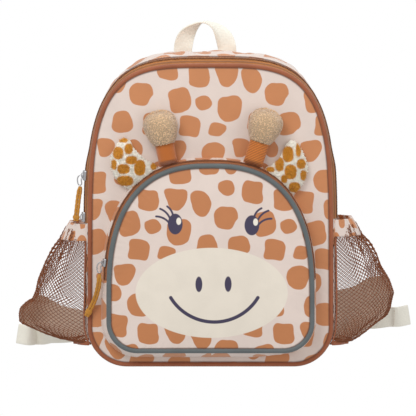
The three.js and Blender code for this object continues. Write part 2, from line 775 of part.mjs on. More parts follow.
/** A place on a side pocket's wall: turn runs from the front seam to the back one. */
function sackPoint(pocket, turn, z, reach, wall, inner) {
  const angle = (turn - 0.5) * Math.PI;
  const across = Math.sign(angle) * Math.abs(Math.sin(angle)) ** 0.84;
  const swell = Math.max(0, Math.cos(angle));
  const y = across * (netHalfDepth - (inner ? wall : 0));
  const seat = gussetReach(y, z) + (inner ? 0 : wall * swell);
  const peak = Math.max(seat, BODY_WIDTH / 2 + reach - (inner ? wall : 0));
  return new THREE.Vector3(pocket.side * THREE.MathUtils.lerp(seat, peak, swell), y, z);
}

/** A lattice wall between two faces of equal grids, with a diamond hole in each cell. */
function latticeSolid(outer, inner, holeShare) {
  const [rows, columns] = [outer.length - 1, outer[0].length - 1];
  const corners = [...outer.flat(), ...inner.flat()];
  const layerSize = (rows + 1) * (columns + 1);
  const at = (layer, row, column) => layer * layerSize + row * (columns + 1) + column;
  const triangles = [];
  const quad = (a, b, c, d) => triangles.push(a, b, c, a, c, d);
  for (let row = 0; row < rows; row += 1) {
    for (let column = 0; column < columns; column += 1) {
      const holes = [0, 1].map((layer) => {
        const cell = [
          at(layer, row, column),
          at(layer, row, column + 1),
          at(layer, row + 1, column + 1),
          at(layer, row + 1, column),
        ];
        const centre = middleOf(cell.map((index) => corners[index]));
        const hole = cell.map((index, k) => {
          const side = corners[index].clone().add(corners[cell[(k + 1) % 4]]).multiplyScalar(0.5);
          return corners.push(centre.clone().lerp(side, holeShare)) - 1;
        });
        cell.forEach((index, k) => {
          const [next, ahead, behind] = [cell[(k + 1) % 4], hole[k], hole[(k + 3) % 4]];
          if (layer === 0) triangles.push(index, next, ahead, index, ahead, behind);
          else triangles.push(index, ahead, next, index, behind, ahead);
        });
        return hole;
      });
      for (let k = 0; k < 4; k += 1) {
        const next = (k + 1) % 4;
        quad(holes[0][k], holes[0][next], holes[1][next], holes[1][k]);
      }
    }
  }
  for (let column = 0; column < columns; column += 1) {
    quad(at(0, 0, column + 1), at(0, 0, column), at(1, 0, column), at(1, 0, column + 1));
    quad(at(0, rows, column), at(0, rows, column + 1), at(1, rows, column + 1), at(1, rows, column));
  }
  for (let row = 0; row < rows; row += 1) {
    quad(at(0, row, 0), at(0, row + 1, 0), at(1, row + 1, 0), at(1, row, 0));
    quad(at(0, row + 1, columns), at(0, row, columns), at(1, row, columns), at(1, row + 1, columns));
  }
  return closedGeometry(corners, triangles);
}

/** A net side pocket with the gathered hem round its mouth. */
function addSidePocket(pocket) {
  const netTop = pocket.hemTop - HEM_HEIGHT - SEAM_GAP;
  const wallGrid = (inner) =>
    NET_ROW_HEIGHTS.map((height) => {
      const z = THREE.MathUtils.lerp(NET_BASE_HEIGHT, netTop, height);
      const reach = NET_REACH * readTable(pocket.profile, "height", "reach", height);
      return Array.from({ length: NET_COLUMNS + 1 }, (_, column) =>
        sackPoint(pocket, column / NET_COLUMNS, z, reach, NET_WALL, inner),
      );
    });
  const lattice = latticeSolid(wallGrid(false), wallGrid(true), NET_HOLE_SHARE);
  addPiece(`net_pocket_${pocket.name}`, cutAway(lattice, bodyBlock()), "net");
  const steps = 18;
  const mouthReach = NET_REACH * pocket.profile[pocket.profile.length - 1].reach;
  const loops = Array.from({ length: steps + 1 }, (_, i) => {
    const turn = i / steps;
    const ripple = HEM_RIPPLE * Math.sin(turn * TURN * 3.5) * Math.sin(turn * Math.PI);
    const place = (up, inner) => {
      const reach = mouthReach * THREE.MathUtils.lerp(1, HEM_GATHER, up) + ripple;
      return sackPoint(pocket, turn, pocket.hemTop - HEM_HEIGHT * (1 - up), reach, HEM_WALL, inner);
    };
    return [place(0, false), place(1, false), place(1, true), place(0, true)];
  });
  addPiece(`net_hem_${pocket.name}`, cutAway(solidOfLoops(loops), bodyBlock()), "print");
}

/** The space that the front pocket takes, with the clearance that what it trims keeps. */
function pocketBlock() {
  const grown = POCKET_FLARE + SEAM_GAP;
  const rimAt = (y) => pocketLoop.map((point) => offsetPoint(point, grown, y));
  return solidOfLoops([rimAt(BACK_Y), rimAt(POCKET_FRONT_Y - POCKET_DEPTH)]);
}

/** A padded plush ear, lying on the front panel with its root behind the pocket's arch. */
function addEar(ear) {
  const root = {
    x: ear.side * ear.root.out * POCKET_HALF_WIDTH,
    z: POCKET_BOTTOM_MARGIN + ear.root.up * POCKET_HEIGHT,
  };
  const marks = ear.outline.map(
    (row) => new THREE.Vector3(root.x + ear.side * row.out * EAR_WIDTH, 0, root.z + row.up * EAR_HEIGHT),
  );
  const rim = new THREE.CatmullRomCurve3(marks, true, "centripetal").getSpacedPoints(24).slice(0, -1);
  const centre = middleOf(rim);
  const ringAt = (share, raise) =>
    rim.map((p) => {
      const at = centre.clone().lerp(p, share);
      return at.setY(frontFaceY(at.x, at.z) - 2 * SEAM_GAP - raise);
    });
  const puff = (share) => EAR_HEM + (EAR_PADDING - EAR_HEM) * Math.sqrt(1 - share * share);
  const front = [0.4, 0.75, 0.93, 1].map((share) => ringAt(share, puff(share)));
  const back = [1, 0.5].map((share) => ringAt(share, 0));
  const backY = frontFaceY(centre.x, centre.z) - 2 * SEAM_GAP;
  const solid = solidOfLoops([...front, ...back], {
    firstTip: centre.clone().setY(backY - EAR_PADDING),
    lastTip: centre.clone().setY(backY),
  });
  addPiece(`ear_${ear.name}`, cutAway(solid, pocketBlock()), "plush");
}

/** Height of the pocket's top edge at a place across it. */
function pocketTopAt(x) {
  const top = pocketLoop.filter((point) => point.z > pocketCentreZ && point.x >= 0).reverse();
  const i = top.findIndex((point, index) => index > 0 && point.x >= x);
  const share = (x - top[i - 1].x) / (top[i].x - top[i - 1].x);
  return THREE.MathUtils.lerp(top[i - 1].z, top[i].z, share);
}

/** A horn: its stem, trimmed by the pocket's arch, and the terry tip on it. */
function addHorn(horn) {
  const lean = THREE.MathUtils.degToRad(horn.lean) * horn.side;
  const along = new THREE.Vector3(Math.sin(lean), 0, Math.cos(lean));
  const across = new THREE.Vector3(Math.cos(lean), 0, -Math.sin(lean));
  const foot = new THREE.Vector3((horn.side * HORN_SPACING) / 2, 0, pocketTopAt(HORN_SPACING / 2));
  const sides = 12;
  const sectionAt = (reach, width, depth) => {
    const at = foot.clone().addScaledVector(along, reach);
    const y = frontFaceY(at.x, at.z) - 3 * SEAM_GAP - depth / 2;
    return ovalSection(width, depth, sides).map(([u, w]) => at.clone().addScaledVector(across, u).setY(y + w));
  };
  const stemTop = STEM_LENGTH * horn.stem;
  const stemLoops = [-0.4, 0.2, 0.6, 1].map((share) => sectionAt(stemTop * share, STEM_WIDTH, STEM_DEPTH));
  addPiece(`horn_stem_${horn.name}`, cutAway(solidOfLoops(stemLoops), pocketBlock()), "velvet");
  const tipBase = stemTop + SEAM_GAP;
  const tipLoops = TIP_PROFILE.map((row) =>
    sectionAt(tipBase + TIP_HEIGHT * row.height, TIP_WIDTH * row.width, TIP_DEPTH * row.width),
  );
  addPiece(`horn_tip_${horn.name}`, solidOfLoops(tipLoops), "plush");
}

/** The webbing loop at the top of the back, whose crest is turned edge on. */
function addHaulLoop() {
  const places = HAUL_LOOP.map(
    (row) =>
      new THREE.Vector3(
        LOOP_MIDDLE + (row.across * LOOP_SPREAD) / 2,
        BACK_Y,
        BODY_HEIGHT + SEAM_GAP + row.up * LOOP_RISE,
      ),
  );
  const steps = 20;
  const rowAt = (station, column) => {
    const key = station.share * (HAUL_LOOP.length - 1);
    const low = Math.min(HAUL_LOOP.length - 2, Math.floor(key));
    return THREE.MathUtils.lerp(HAUL_LOOP[low][column], HAUL_LOOP[low + 1][column], key - low);
  };
  const widthAt = (station) => {
    const turn = THREE.MathUtils.degToRad(rowAt(station, "turn"));
    return new THREE.Vector3(Math.cos(turn), Math.sin(turn), 0);
  };
  const section = () => flatSection(LOOP_WEBBING_WIDTH, LOOP_WEBBING_WALL);
  addPiece("haul_loop", stripSolid(routeStations(places, steps), widthAt, section), "webbing");
}

/** Depth of the back panel's stepped outer face at a place on it. */
function backFaceY(x, z) {
  const share = Math.min(1, rimShare(panelRim, panelCentreZ, x, z));
  const steps = [0, ...PANEL_STEPS].map((step) => ({ step, depth: backFace(step) }));
  return readTable(steps, "step", "depth", share);
}

const strapEndHeight = LOCK_HEIGHT + LOCK_RISE / 2 + SEAM_GAP;
const strapTopY = backFaceY(STRAP_SPACING / 2 - STRAP_WIDTH / 2, STRAP_TOP_HEIGHT) + STRAP_THICKNESS / 2;
const lockY = strapTopY + 2 * SEAM_GAP + STRAP_ROUTE[STRAP_ROUTE.length - 1].back * STRAP_STANDOFF;

/** A padded shoulder strap, standing off the back as a slack strap hangs. */
function addShoulderStrap(name, side) {
  const places = STRAP_ROUTE.map(
    (row) =>
      new THREE.Vector3(
        (side * THREE.MathUtils.lerp(STRAP_SPACING, LOCK_SPACING, row.across)) / 2,
        strapTopY + 2 * SEAM_GAP + row.back * STRAP_STANDOFF,
        THREE.MathUtils.lerp(STRAP_TOP_HEIGHT, strapEndHeight, row.down),
      ),
  );
  const widthAt = () => new THREE.Vector3(1, 0, 0);
  const section = (station) => {
    const down = (STRAP_TOP_HEIGHT - station.at.z) / (STRAP_TOP_HEIGHT - strapEndHeight);
    return ovalSection(STRAP_WIDTH * readTable(STRAP_ROUTE, "down", "width", down), STRAP_THICKNESS, 8);
  };
  addPiece(`shoulder_strap_${name}`, stripSolid(routeStations(places, 18), widthAt, section), "print");
}

/** A closed box from its size and its middle. */
function boxSolid(width, depth, height, z = 0) {
  return new THREE.BoxGeometry(width, depth, height).translate(0, 0, z);
}

/** A ladder lock: a frame of three bars, hung under the padded strap. */
function addLadderLock(name, side) {
  const holder = new THREE.Group();
  holder.position.set((side * LOCK_SPACING) / 2, lockY, LOCK_HEIGHT);
  bag.add(holder);
  const windowRise = (LOCK_RISE - 3 * LOCK_BAR) / 2;
  const windowWidth = WEBBING_WIDTH + 8 * SEAM_GAP;
  const windowMiddle = (LOCK_BAR + windowRise) / 2;
  const frame = boxSolid(Math.max(LOCK_WIDTH, windowWidth + LOCK_BAR), LOCK_THICKNESS, LOCK_RISE);
  const upper = boxSolid(windowWidth, LOCK_THICKNESS * 2, windowRise, windowMiddle);
  const lower = boxSolid(windowWidth, LOCK_THICKNESS * 2, windowRise, -windowMiddle);
  addPiece(`ladder_lock_${name}`, cutAway(cutAway(frame, upper), lower), "plastic", holder);
}

/** The webbing: up from the base of the back, round the lock's middle bar and out sideways. */
function addWebbing(tail) {
  const lockX = (tail.side * LOCK_SPACING) / 2;
  const anchorX = (tail.side * ANCHOR_SPACING) / 2;
  const legY = LOCK_THICKNESS / 2 + SEAM_GAP + WEBBING_WALL / 2;
  const seatZ = ANCHOR_HEIGHT + WEBBING_WIDTH / 2;
  const anchorY = backFaceY(Math.abs(anchorX) - WEBBING_WIDTH / 2, seatZ) + SEAM_GAP + WEBBING_WALL / 2;
  const bendZ = LOCK_HEIGHT + LOCK_BAR / 2;
  const lockFoot = LOCK_HEIGHT - LOCK_RISE / 2;
  const up = [
    new THREE.Vector3(anchorX, anchorY, ANCHOR_HEIGHT),
    new THREE.Vector3(anchorX, anchorY + SEAM_GAP, seatZ),
    new THREE.Vector3(lockX, lockY - legY - SEAM_GAP, lockFoot - LOCK_BAR),
    new THREE.Vector3(lockX, lockY - legY, lockFoot + LOCK_BAR),
    new THREE.Vector3(lockX, lockY - legY, bendZ),
  ];
  const bendSteps = 6;
  const bend = Array.from({ length: bendSteps + 1 }, (_, i) => {
    const angle = (Math.PI * i) / bendSteps;
    return {
      at: new THREE.Vector3(lockX, lockY - legY * Math.cos(angle), bendZ + legY * Math.sin(angle)),
      along: new THREE.Vector3(0, Math.sin(angle), Math.cos(angle)),
    };
  });
  const tailY = BACK_Y + TAIL_STANDOFF;
  const tipX = tail.side * tail.tipOut;
  const down = [
    new THREE.Vector3(lockX, lockY + legY, bendZ),
    new THREE.Vector3(lockX, lockY + legY, lockFoot + LOCK_BAR),
    new THREE.Vector3(lockX, lockY + legY + SEAM_GAP, lockFoot - LOCK_BAR),
    new THREE.Vector3(THREE.MathUtils.lerp(lockX, tipX, 0.34), lockY, tail.tipHeight + WEBBING_WIDTH * 0.1),
    new THREE.Vector3(THREE.MathUtils.lerp(lockX, tipX, 0.66), tailY, tail.tipHeight - WEBBING_WIDTH * 0.1),
    new THREE.Vector3(tipX - tail.side * TIP_FOLD_LENGTH, tailY, tail.tipHeight),
    new THREE.Vector3(tipX, tailY + tail.tipTurn, tail.tipHeight + WEBBING_WIDTH * 0.08),
  ];
  const upStations = routeStations(up, 8).slice(0, -1).map((station) => ({ ...station, leg: "up" }));
  const bendStations = bend.slice(0, -1).map((station) => ({ ...station, leg: "up" }));
  const downStations = routeStations(down, 20).map((station) => ({ ...station, leg: "down" }));
  const widthAt = (station) =>
    station.leg === "up"
      ? new THREE.Vector3(1, 0, 0)
      : new THREE.Vector3(-station.along.z, 0, station.along.x);
  const folded = (station) => station.leg === "down" && station.share > 0.93;
  const section = (station) => flatSection(WEBBING_WIDTH, WEBBING_WALL * (folded(station) ? 2 : 1));
  const stations = [...upStations, ...bendStations, ...downStations];
  addPiece(`strap_webbing_${tail.name}`, stripSolid(stations, widthAt, section), "webbing");
}

/** Where a slider sits: the zip's face on the left side at a height, as a placing matrix. */
function sliderPlace(stretch, offsetAt, frontY, width, height) {
  const lefts = stretch.filter((point) => point.x < 0);
  const i = lefts.findIndex((point, index) => index > 0 && point.z <= height);
  const share = (height - lefts[i - 1].z) / (lefts[i].z - lefts[i - 1].z);
  const faceAt = (y) => {
    const [a, b] = [lefts[i - 1], lefts[i]].map((point) => offsetPoint(point, offsetAt(point, y), y));
    return a.lerp(b, share);
  };
  const [near, far] = [faceAt(frontY), faceAt(frontY + width)];
  const across = far.clone().sub(near).normalize();
  const along = new THREE.Vector3(lefts[i - 1].x - lefts[i].x, 0, lefts[i - 1].z - lefts[i].z).normalize();
  const out = new THREE.Vector3().crossVectors(along, across).normalize();
  const middle = near.clone().add(far).multiplyScalar(0.5);
  return { middle, out, matrix: new THREE.Matrix4().makeBasis(across, out, along).setPosition(middle) };
}

/** A slider's body, straddling the coil. */
function addSlider(name, place, width, length, coil) {
  const channelHalf = coil.width / 2 + SEAM_GAP;
  const half = Math.max(width / 2, channelHalf + 1);
  const channelTop = 2 * SEAM_GAP + coil.height;
  const roof = channelTop + SLIDER_ROOF;
  const bevel = SLIDER_ROOF / 2;
  const shape = new THREE.Shape();
  shape.moveTo(-half, SEAM_GAP);
  shape.lineTo(-channelHalf, SEAM_GAP);
  shape.lineTo(-channelHalf, channelTop);
  shape.lineTo(channelHalf, channelTop);
  shape.lineTo(channelHalf, SEAM_GAP);
  shape.lineTo(half, SEAM_GAP);
  shape.lineTo(half, roof - bevel);
  shape.lineTo(half - bevel, roof);
  shape.lineTo(bevel - half, roof);
  shape.lineTo(-half, roof - bevel);
  const body = new THREE.ExtrudeGeometry(shape, { depth: length, bevelEnabled: false });
  body.translate(0, 0, -length / 2);
  const holder = new THREE.Group();
  holder.applyMatrix4(place.matrix);
  bag.add(holder);
  addPiece(name, body, "steel", holder);
  return place.middle.clone().addScaledVector(place.out, roof + SEAM_GAP + WIRE_DIAMETER / 2);
}

/** A wire puller and the cord pull that hangs from it, beside a slider. */
function addPull(names, start, wireEnd, route, length, restY) {
  const bow = start.clone().lerp(wireEnd, 0.5).add(new THREE.Vector3(-WIRE_DIAMETER, 0, WIRE_DIAMETER));
  const wireStations = routeStations([start, bow, wireEnd], 6);
  const round = () => ovalSection(WIRE_DIAMETER, WIRE_DIAMETER, 6);
  const sideways = (station) => new THREE.Vector3(-station.along.z, 0, station.along.x);
  addPiece(names.wire, stripSolid(wireStations, sideways, round), "steel");
  const top = wireStations[wireStations.length - 1].at.clone();
  top.addScaledVector(wireStations[wireStations.length - 1].along, SEAM_GAP + WIRE_DIAMETER / 2);
  const places = route.map(
    (row) =>
      new THREE.Vector3(
        top.x - row.out * length,
        THREE.MathUtils.lerp(top.y, restY, row.back),
        top.z - row.down * length,
      ),
  );
  const flat = () => ovalSection(RIBBON_WIDTH, RIBBON_THICKNESS, 8);
  addPiece(names.ribbon, stripSolid(routeStations(places, 10), sideways, flat), "mustard");
}

/** Both zips' sliders, with the pulls that hang at the left. */
function addSliders() {
  const mainCoil = { width: MAIN_COIL_WIDTH, height: MAIN_COIL_HEIGHT };
  const pocketCoil = { width: POCKET_COIL_WIDTH, height: POCKET_COIL_HEIGHT };
  const onMain = (height) => sliderPlace(mainStretch, gussetOffset, zipFrontY, MAIN_ZIP_WIDTH, height);
  const upper = onMain(UPPER_SLIDER_HEIGHT);
  const upperTop = addSlider("main_slider_upper", upper, MAIN_SLIDER_WIDTH, MAIN_SLIDER_LENGTH, mainCoil);
  addSlider("main_slider_lower", onMain(LOWER_SLIDER_HEIGHT), MAIN_SLIDER_WIDTH, MAIN_SLIDER_LENGTH, mainCoil);
  const mainEnd = upperTop.clone().add(new THREE.Vector3(-WIRE_DIAMETER, -MAIN_SLIDER_WIDTH * 0.1, -MAIN_SLIDER_LENGTH));
  const mainNames = { wire: "main_pull_wire", ribbon: "main_pull_cord" };
  addPull(mainNames, upperTop, mainEnd, MAIN_PULL_ROUTE, MAIN_RIBBON_LENGTH, upperTop.y);
  const pocket = sliderPlace(pocketStretch, pocketOffset, pocketZipFrontY, POCKET_ZIP_WIDTH, POCKET_SLIDER_HEIGHT);
  const pocketTop = addSlider("pocket_slider", pocket, POCKET_SLIDER_WIDTH, POCKET_SLIDER_LENGTH, pocketCoil);
  const drop = new THREE.Vector3(-WIRE_DIAMETER * 1.5, 0, -POCKET_SLIDER_LENGTH * 1.3);
  const pocketNames = { wire: "pocket_pull_wire", ribbon: "pocket_pull_cord" };
  const restY = FRONT_Y - PIPING_RADIUS - RIBBON_THICKNESS - 2 * SEAM_GAP;
  addPull(pocketNames, pocketTop, pocketTop.clone().add(drop), POCKET_PULL_ROUTE, POCKET_RIBBON_LENGTH, restY);
}

addPanels();
addGusset();
addZip("main_zip", mainStretch, gussetOffset, zipFrontY, MAIN_ZIP_WIDTH, mainZipSizes, "mustard");
addPocket();
addZip("pocket_zip", pocketStretch, pocketOffset, pocketZipFrontY, POCKET_ZIP_WIDTH, pocketZipSizes, "brownZip");

SIDE_POCKETS.forEach(addSidePocket);
EARS.forEach(addEar);
HORNS.forEach(addHorn);
addHaulLoop();
addShoulderStrap("left", -1);
addShoulderStrap("right", 1);
addLadderLock("left", -1);
addLadderLock("right", 1);
WEBBING_TAILS.forEach(addWebbing);
addSliders();

export default bag;
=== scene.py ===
"""Dresses a small zip backpack: printed cloth, piping, net pockets, plush ears and horns.

Lengths are written in millimetres in the bag's own frame (+Z up, the front faces -Y, the
origin in the middle of the flat base) and become metres where a mesh is made.
"""

from __future__ import annotations

import logging
import math
from collections.abc import Callable, Sequence
from dataclasses import dataclass, field
from enum import Enum

import bpy
import numpy as np
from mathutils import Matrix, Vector


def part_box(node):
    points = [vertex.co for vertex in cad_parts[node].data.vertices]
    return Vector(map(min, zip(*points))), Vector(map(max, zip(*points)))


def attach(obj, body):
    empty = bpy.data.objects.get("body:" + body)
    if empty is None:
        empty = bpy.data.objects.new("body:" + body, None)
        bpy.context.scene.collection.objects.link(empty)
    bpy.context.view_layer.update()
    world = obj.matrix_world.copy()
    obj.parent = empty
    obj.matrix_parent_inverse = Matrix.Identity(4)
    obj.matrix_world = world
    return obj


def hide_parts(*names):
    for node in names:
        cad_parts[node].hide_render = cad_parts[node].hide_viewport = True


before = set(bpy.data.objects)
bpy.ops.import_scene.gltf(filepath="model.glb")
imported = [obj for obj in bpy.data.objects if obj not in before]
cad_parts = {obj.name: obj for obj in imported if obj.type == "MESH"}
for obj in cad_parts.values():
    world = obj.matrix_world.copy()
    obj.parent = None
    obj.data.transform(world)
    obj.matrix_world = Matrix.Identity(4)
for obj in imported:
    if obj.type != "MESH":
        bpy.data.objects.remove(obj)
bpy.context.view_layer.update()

LOG = logging.getLogger("backpack")
MM = 0.001
TURN = 2 * math.pi
BODY = "root"
OUTLINE_STEPS = 400
SPAN_STEPS = 24
UNDER_PIPING = 0.9
FAR = 99.0
TINY = 1e-6
Array = np.ndarray
Colour = tuple[float, float, float]
Finishes = dict[str, bpy.types.Material]


def box_mm(node: str) -> tuple[Array, Array]:
    """Lowest and highest corner of a CAD node.

    Args:
        node: the node's name.

    Returns:
        The two corners, in millimetres.
    """
    low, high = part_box(node)
    return np.array(low) / MM, np.array(high) / MM


class Side(Enum):
    """A side of the bag, as the sign of its X."""

    LEFT = -1
    RIGHT = 1

    @property
    def word(self) -> str:
        """The side's name in a node's name."""
        return self.name.lower()


def unit(rows: Array) -> Array:
    """Rows scaled to a length of 1."""
    return rows / np.linalg.norm(rows, axis=1)[:, None].clip(TINY)


def tangents(ring: Array) -> Array:
    """Unit directions along a closed ring."""
    return unit(np.roll(ring, -1, axis=0) - np.roll(ring, 1, axis=0))


def reach_along(line: Array) -> Array:
    """The length along a line from its start to each of its points."""
    return np.concatenate([[0], np.cumsum(np.linalg.norm(np.diff(line, axis=0), axis=1))])


def sampled(marks: Array, reach: Array, rows: Array, period: float | None = None) -> Array:
    """Rows read at some lengths along a line.

    Args:
        marks: the lengths to read at.
        reach: the length at each row.
        rows: the rows.
        period: the whole length of a closed line.

    Returns:
        One row for each mark.
    """
    return np.column_stack([np.interp(marks, reach, column, period=period) for column in rows.T])


@dataclass(frozen=True)
class ArchedOutline:
    """An upright outline with a flat base, round lower corners and an arched top."""

    half_width: float
    base: float
    top: float
    corner_radius: float
    spring_height: float
    exponent: float

    def half(self) -> Array:
        """Closely stepped right half, from the middle of the base to the top.

        Returns:
            Rows of x and z.
        """
        steps = np.linspace(0, 1, OUTLINE_STEPS)
        corner_x = self.half_width - self.corner_radius
        angle = steps * math.pi / 2
        base = np.column_stack([corner_x * steps, np.full_like(steps, self.base)])
        corner = np.column_stack([
            corner_x + self.corner_radius * np.sin(angle),
            self.base + self.corner_radius * (1 - np.cos(angle)),
        ])
        side_low = self.base + self.corner_radius
        side = np.column_stack([
            np.full_like(steps, self.half_width),
            side_low + (self.spring_height - side_low) * steps,
        ])
        arch = np.column_stack([
            self.half_width * np.cos(angle).clip(0) ** (2 / self.exponent),
            self.spring_height + (self.top - self.spring_height) * np.sin(angle) ** (2 / self.exponent),
        ])
        return np.vstack([base, corner[1:], side[1:], arch[1:]])

    def loop(self, count: int) -> tuple[Array, Array, Array]:
        """Evenly stepped closed outline, from the middle of the base round by the right.

        Args:
            count: how many points, an even number.

        Returns:
            Points (x, z), outward normals, and the length from the top's middle to each.
        """
        right = self.half()
        left = right[-2:0:-1] * [-1, 1]
        ring = np.vstack([right, left, right[:1]])
        reach = reach_along(ring)
        marks = np.arange(count) * reach[-1] / count
        points = sampled(marks, reach, ring)
        ahead = tangents(points)
        normals = np.column_stack([ahead[:, 1], -ahead[:, 0]])
        return points, normals, reach[-1] / 2 - marks


@dataclass(frozen=True)
class BagSizes:
    """The bag's own sizes, those of the solids but for the lower corners' smaller radius."""

    body_width: float = 246.0
    body_height: float = 304.0
    body_depth: float = 90.0
    corner_radius: float = 39.5
    spring_height: float = 113.0
    arch_exponent: float = 3.75
    piping: float = 4.6
    panel_crown: float = 7.0
    gusset_side_crown: float = 3.3
    gusset_shoulder_crown: float = 1.2
    gusset_top_crown: float = 12.0
    gusset_crest_depth: float = 11.0
    zip_width: float = 11.0
    pocket_margin: float = 19.0
    pocket_base: float = 15.0
    pocket_height: float = 190.0
    pocket_depth: float = 24.0
    pocket_corner: float = 31.0
    pocket_arch: float = 134.0
    pocket_exponent: float = 2.55
    pocket_piping: float = 5.0
    pocket_crown: float = 7.0
    pocket_flare: float = 5.4
    pocket_zip_width: float = 8.0
    pocket_zip_end: float = 88.0
    seam_gap: float = 0.3

    @property
    def front_y(self) -> float:
        """Depth of the front piping."""
        return -self.body_depth / 2

    @property
    def back_y(self) -> float:
        """Depth of the back piping."""
        return self.body_depth / 2

    @property
    def pocket_front_y(self) -> float:
        """Depth of the pocket's piping."""
        return self.front_y - self.pocket_depth

    @property
    def outline(self) -> ArchedOutline:
        """The body's outline, on the piping's outer edge."""
        return ArchedOutline(self.body_width / 2, 0.0, self.body_height, self.corner_radius,
                             self.spring_height, self.arch_exponent)

    @property
    def pocket_outline(self) -> ArchedOutline:
        """The pocket's outline, on its piping's outer edge."""
        top = self.pocket_base + self.pocket_height
        return ArchedOutline(self.body_width / 2 - self.pocket_margin, self.pocket_base, top,
                             self.pocket_corner, top - self.pocket_arch, self.pocket_exponent)

    def gusset_offset(self, z: Array, y: Array) -> Array:
        """How far the gusset stands out past the piping's edge.

        Args:
            z: heights of the outline points.
            y: depths.

        Returns:
            The offsets.
        """
        rise = smooth(z, self.corner_radius / 6, self.corner_radius * 1.6)
        from_crest = y - self.front_y - self.gusset_crest_depth
        slope = np.where(from_crest < 0, self.gusset_crest_depth, self.body_depth - self.gusset_crest_depth)
        shoulder = smooth(z, self.body_height * 0.645, self.body_height * 0.73)
        crown = self.gusset_side_crown + (self.gusset_shoulder_crown - self.gusset_side_crown) * shoulder
        side = rise * crown * (1 - (from_crest / slope) ** 2)
        arch = np.clip((z / self.body_height - 0.862) / 0.138, 0, 1) ** 2.2
        across = y / (self.body_depth / 2)
        return side + (self.gusset_top_crown - self.gusset_side_crown) * arch * (1 - across**2)


def smooth(value: Array, low: float, high: float) -> Array:
    """A soft step from 0 at low to 1 at high."""
    share = np.clip((np.asarray(value, float) - low) / (high - low), 0, 1)
    return share * share * (3 - 2 * share)


def ripple(*waves: Array) -> Array:
    """The mean of some sine waves, each given by its phase."""
    return sum(np.sin(wave) for wave in waves) / len(waves)


@dataclass(frozen=True)
class Waves:
    """Small folds along a seam, as sine waves with their lengths and starts."""

    lengths: tuple[float, ...]
    starts: tuple[float, ...]

    def at(self, run: Array) -> Array:
        """The mean of the waves at some lengths along the seam."""
        return ripple(*(run * TURN / length + start for length, start in zip(self.lengths, self.starts)))


SIZES = BagSizes()


class Rim:
    """A closed rim seen from the front, which says how far in a place lies."""

    def __init__(self, points: Array, centre_z: float) -> None:
        """Sorts the rim's points by their angle.

        Args:
            points: rows of x and z.
            centre_z: height of the middle.
        """
        self.centre_z = centre_z
        angle = np.arctan2(points[:, 1] - centre_z, points[:, 0])
        order = np.argsort(angle)
        self.angles = angle[order]
        self.radii = np.hypot(points[order, 0], points[order, 1] - centre_z)

    def share(self, x: Array, z: Array) -> Array:
        """Share of the way from the middle to the rim at some places."""
        angle = np.arctan2(np.asarray(z) - self.centre_z, x)
        radius = np.interp(angle, self.angles, self.radii, period=TURN)
        return np.hypot(x, np.asarray(z) - self.centre_z) / radius


def inset_rim(outline: ArchedOutline, inset: float, centre_z: float, count: int = 720) -> Rim:
    """The rim of a panel that sits inside its piping."""
    points, normals, _ = outline.loop(count)
    return Rim(points - normals * inset, centre_z)


PANEL_RIM = inset_rim(SIZES.outline, SIZES.piping + SIZES.seam_gap, SIZES.body_height / 2)


def front_face_y(x: Array, z: Array) -> Array:
    """Depth of the front panel's outer face at some places."""
    share = np.minimum(1, PANEL_RIM.share(x, z))
    return SIZES.front_y - 1 - SIZES.panel_crown * (1 - share**2)


@dataclass
class MeshData:
    """Points in millimetres, faces, and named values on the points."""

    points: Array
    faces: list[Array] = field(default_factory=list)
    values: dict[str, Array] = field(default_factory=dict)

    def join(self, other: MeshData) -> MeshData:
        """This mesh and another as one.

        Args:
            other: the mesh that is added.

        Returns:
            The joined mesh, whose missing values are zero.
        """
        shift = len(self.points)
        names = set(self.values) | set(other.values)
        merged = {}
        for name in names:
            mine = self.values.get(name, np.zeros(len(self.points)))
            theirs = other.values.get(name, np.zeros(len(other.points)))
            merged[name] = np.concatenate([mine, theirs])
        faces = self.faces + [face + shift for face in other.faces]
        return MeshData(np.vstack([self.points, other.points]), faces, merged)


def grid(points: Array, wrap_rows: bool = False, wrap_columns: bool = False) -> MeshData:
    """A sheet of quads over rows and columns of points.

    Args:
        points: array of rows, columns and x, y, z.
        wrap_rows: whether the last row joins the first.
        wrap_columns: whether the last column joins the first.

    Returns:
        The mesh.
    """
    rows, columns = points.shape[:2]
    row = np.arange(rows if wrap_rows else rows - 1)[:, None]
    column = np.arange(columns if wrap_columns else columns - 1)[None, :]
    below, beside = (row + 1) % rows, (column + 1) % columns
    quads = np.stack([
        row * columns + column, row * columns + beside, below * columns + beside, below * columns + column,
    ], axis=-1).reshape(-1, 4)
    return MeshData(points.reshape(-1, 3), [quads])


def capped(mesh: MeshData, first: Array, last: Array) -> MeshData:
    """Closes a wrapped grid of rings with a fan at each end.

    Args:
        mesh: the grid.
        first: point numbers of its first ring.
        last: point numbers of its last ring.

    Returns:
        The closed mesh.
    """
    centres = np.vstack([mesh.points[first].mean(0), mesh.points[last].mean(0)])
    count = len(mesh.points)
    fans = []
    for ring, centre in ((first, count), (last, count + 1)):
        after = np.roll(ring, -1)
        fans.append(np.column_stack([ring, after, np.full_like(ring, centre)]))
    values = {
        name: np.concatenate([value, [value[first].mean(), value[last].mean()]])
        for name, value in mesh.values.items()
    }
    return MeshData(np.vstack([mesh.points, centres]), mesh.faces + fans, values)


def sweep(centres: Array, across: Array, facing: Array, section: Array, closed: bool = False) -> MeshData:
    """Sweeps a section along stations.

    Args:
        centres: the stations' places.
        across: unit width directions, one a station.
        facing: unit thickness directions, one a station.
        section: section corners (width, thickness), the same for all or one set a station.
        closed: whether the last station joins the first.

    Returns:
        A closed tube.
    """
    if section.ndim == 2:
        section = np.repeat(section[None], len(centres), axis=0)
    points = (centres[:, None] + across[:, None] * section[..., :1] + facing[:, None] * section[..., 1:])
    mesh = grid(points, wrap_rows=closed, wrap_columns=True)
    if closed:
        return mesh
    count = section.shape[1]
    return capped(mesh, np.arange(count), np.arange(count) + count * (len(centres) - 1))


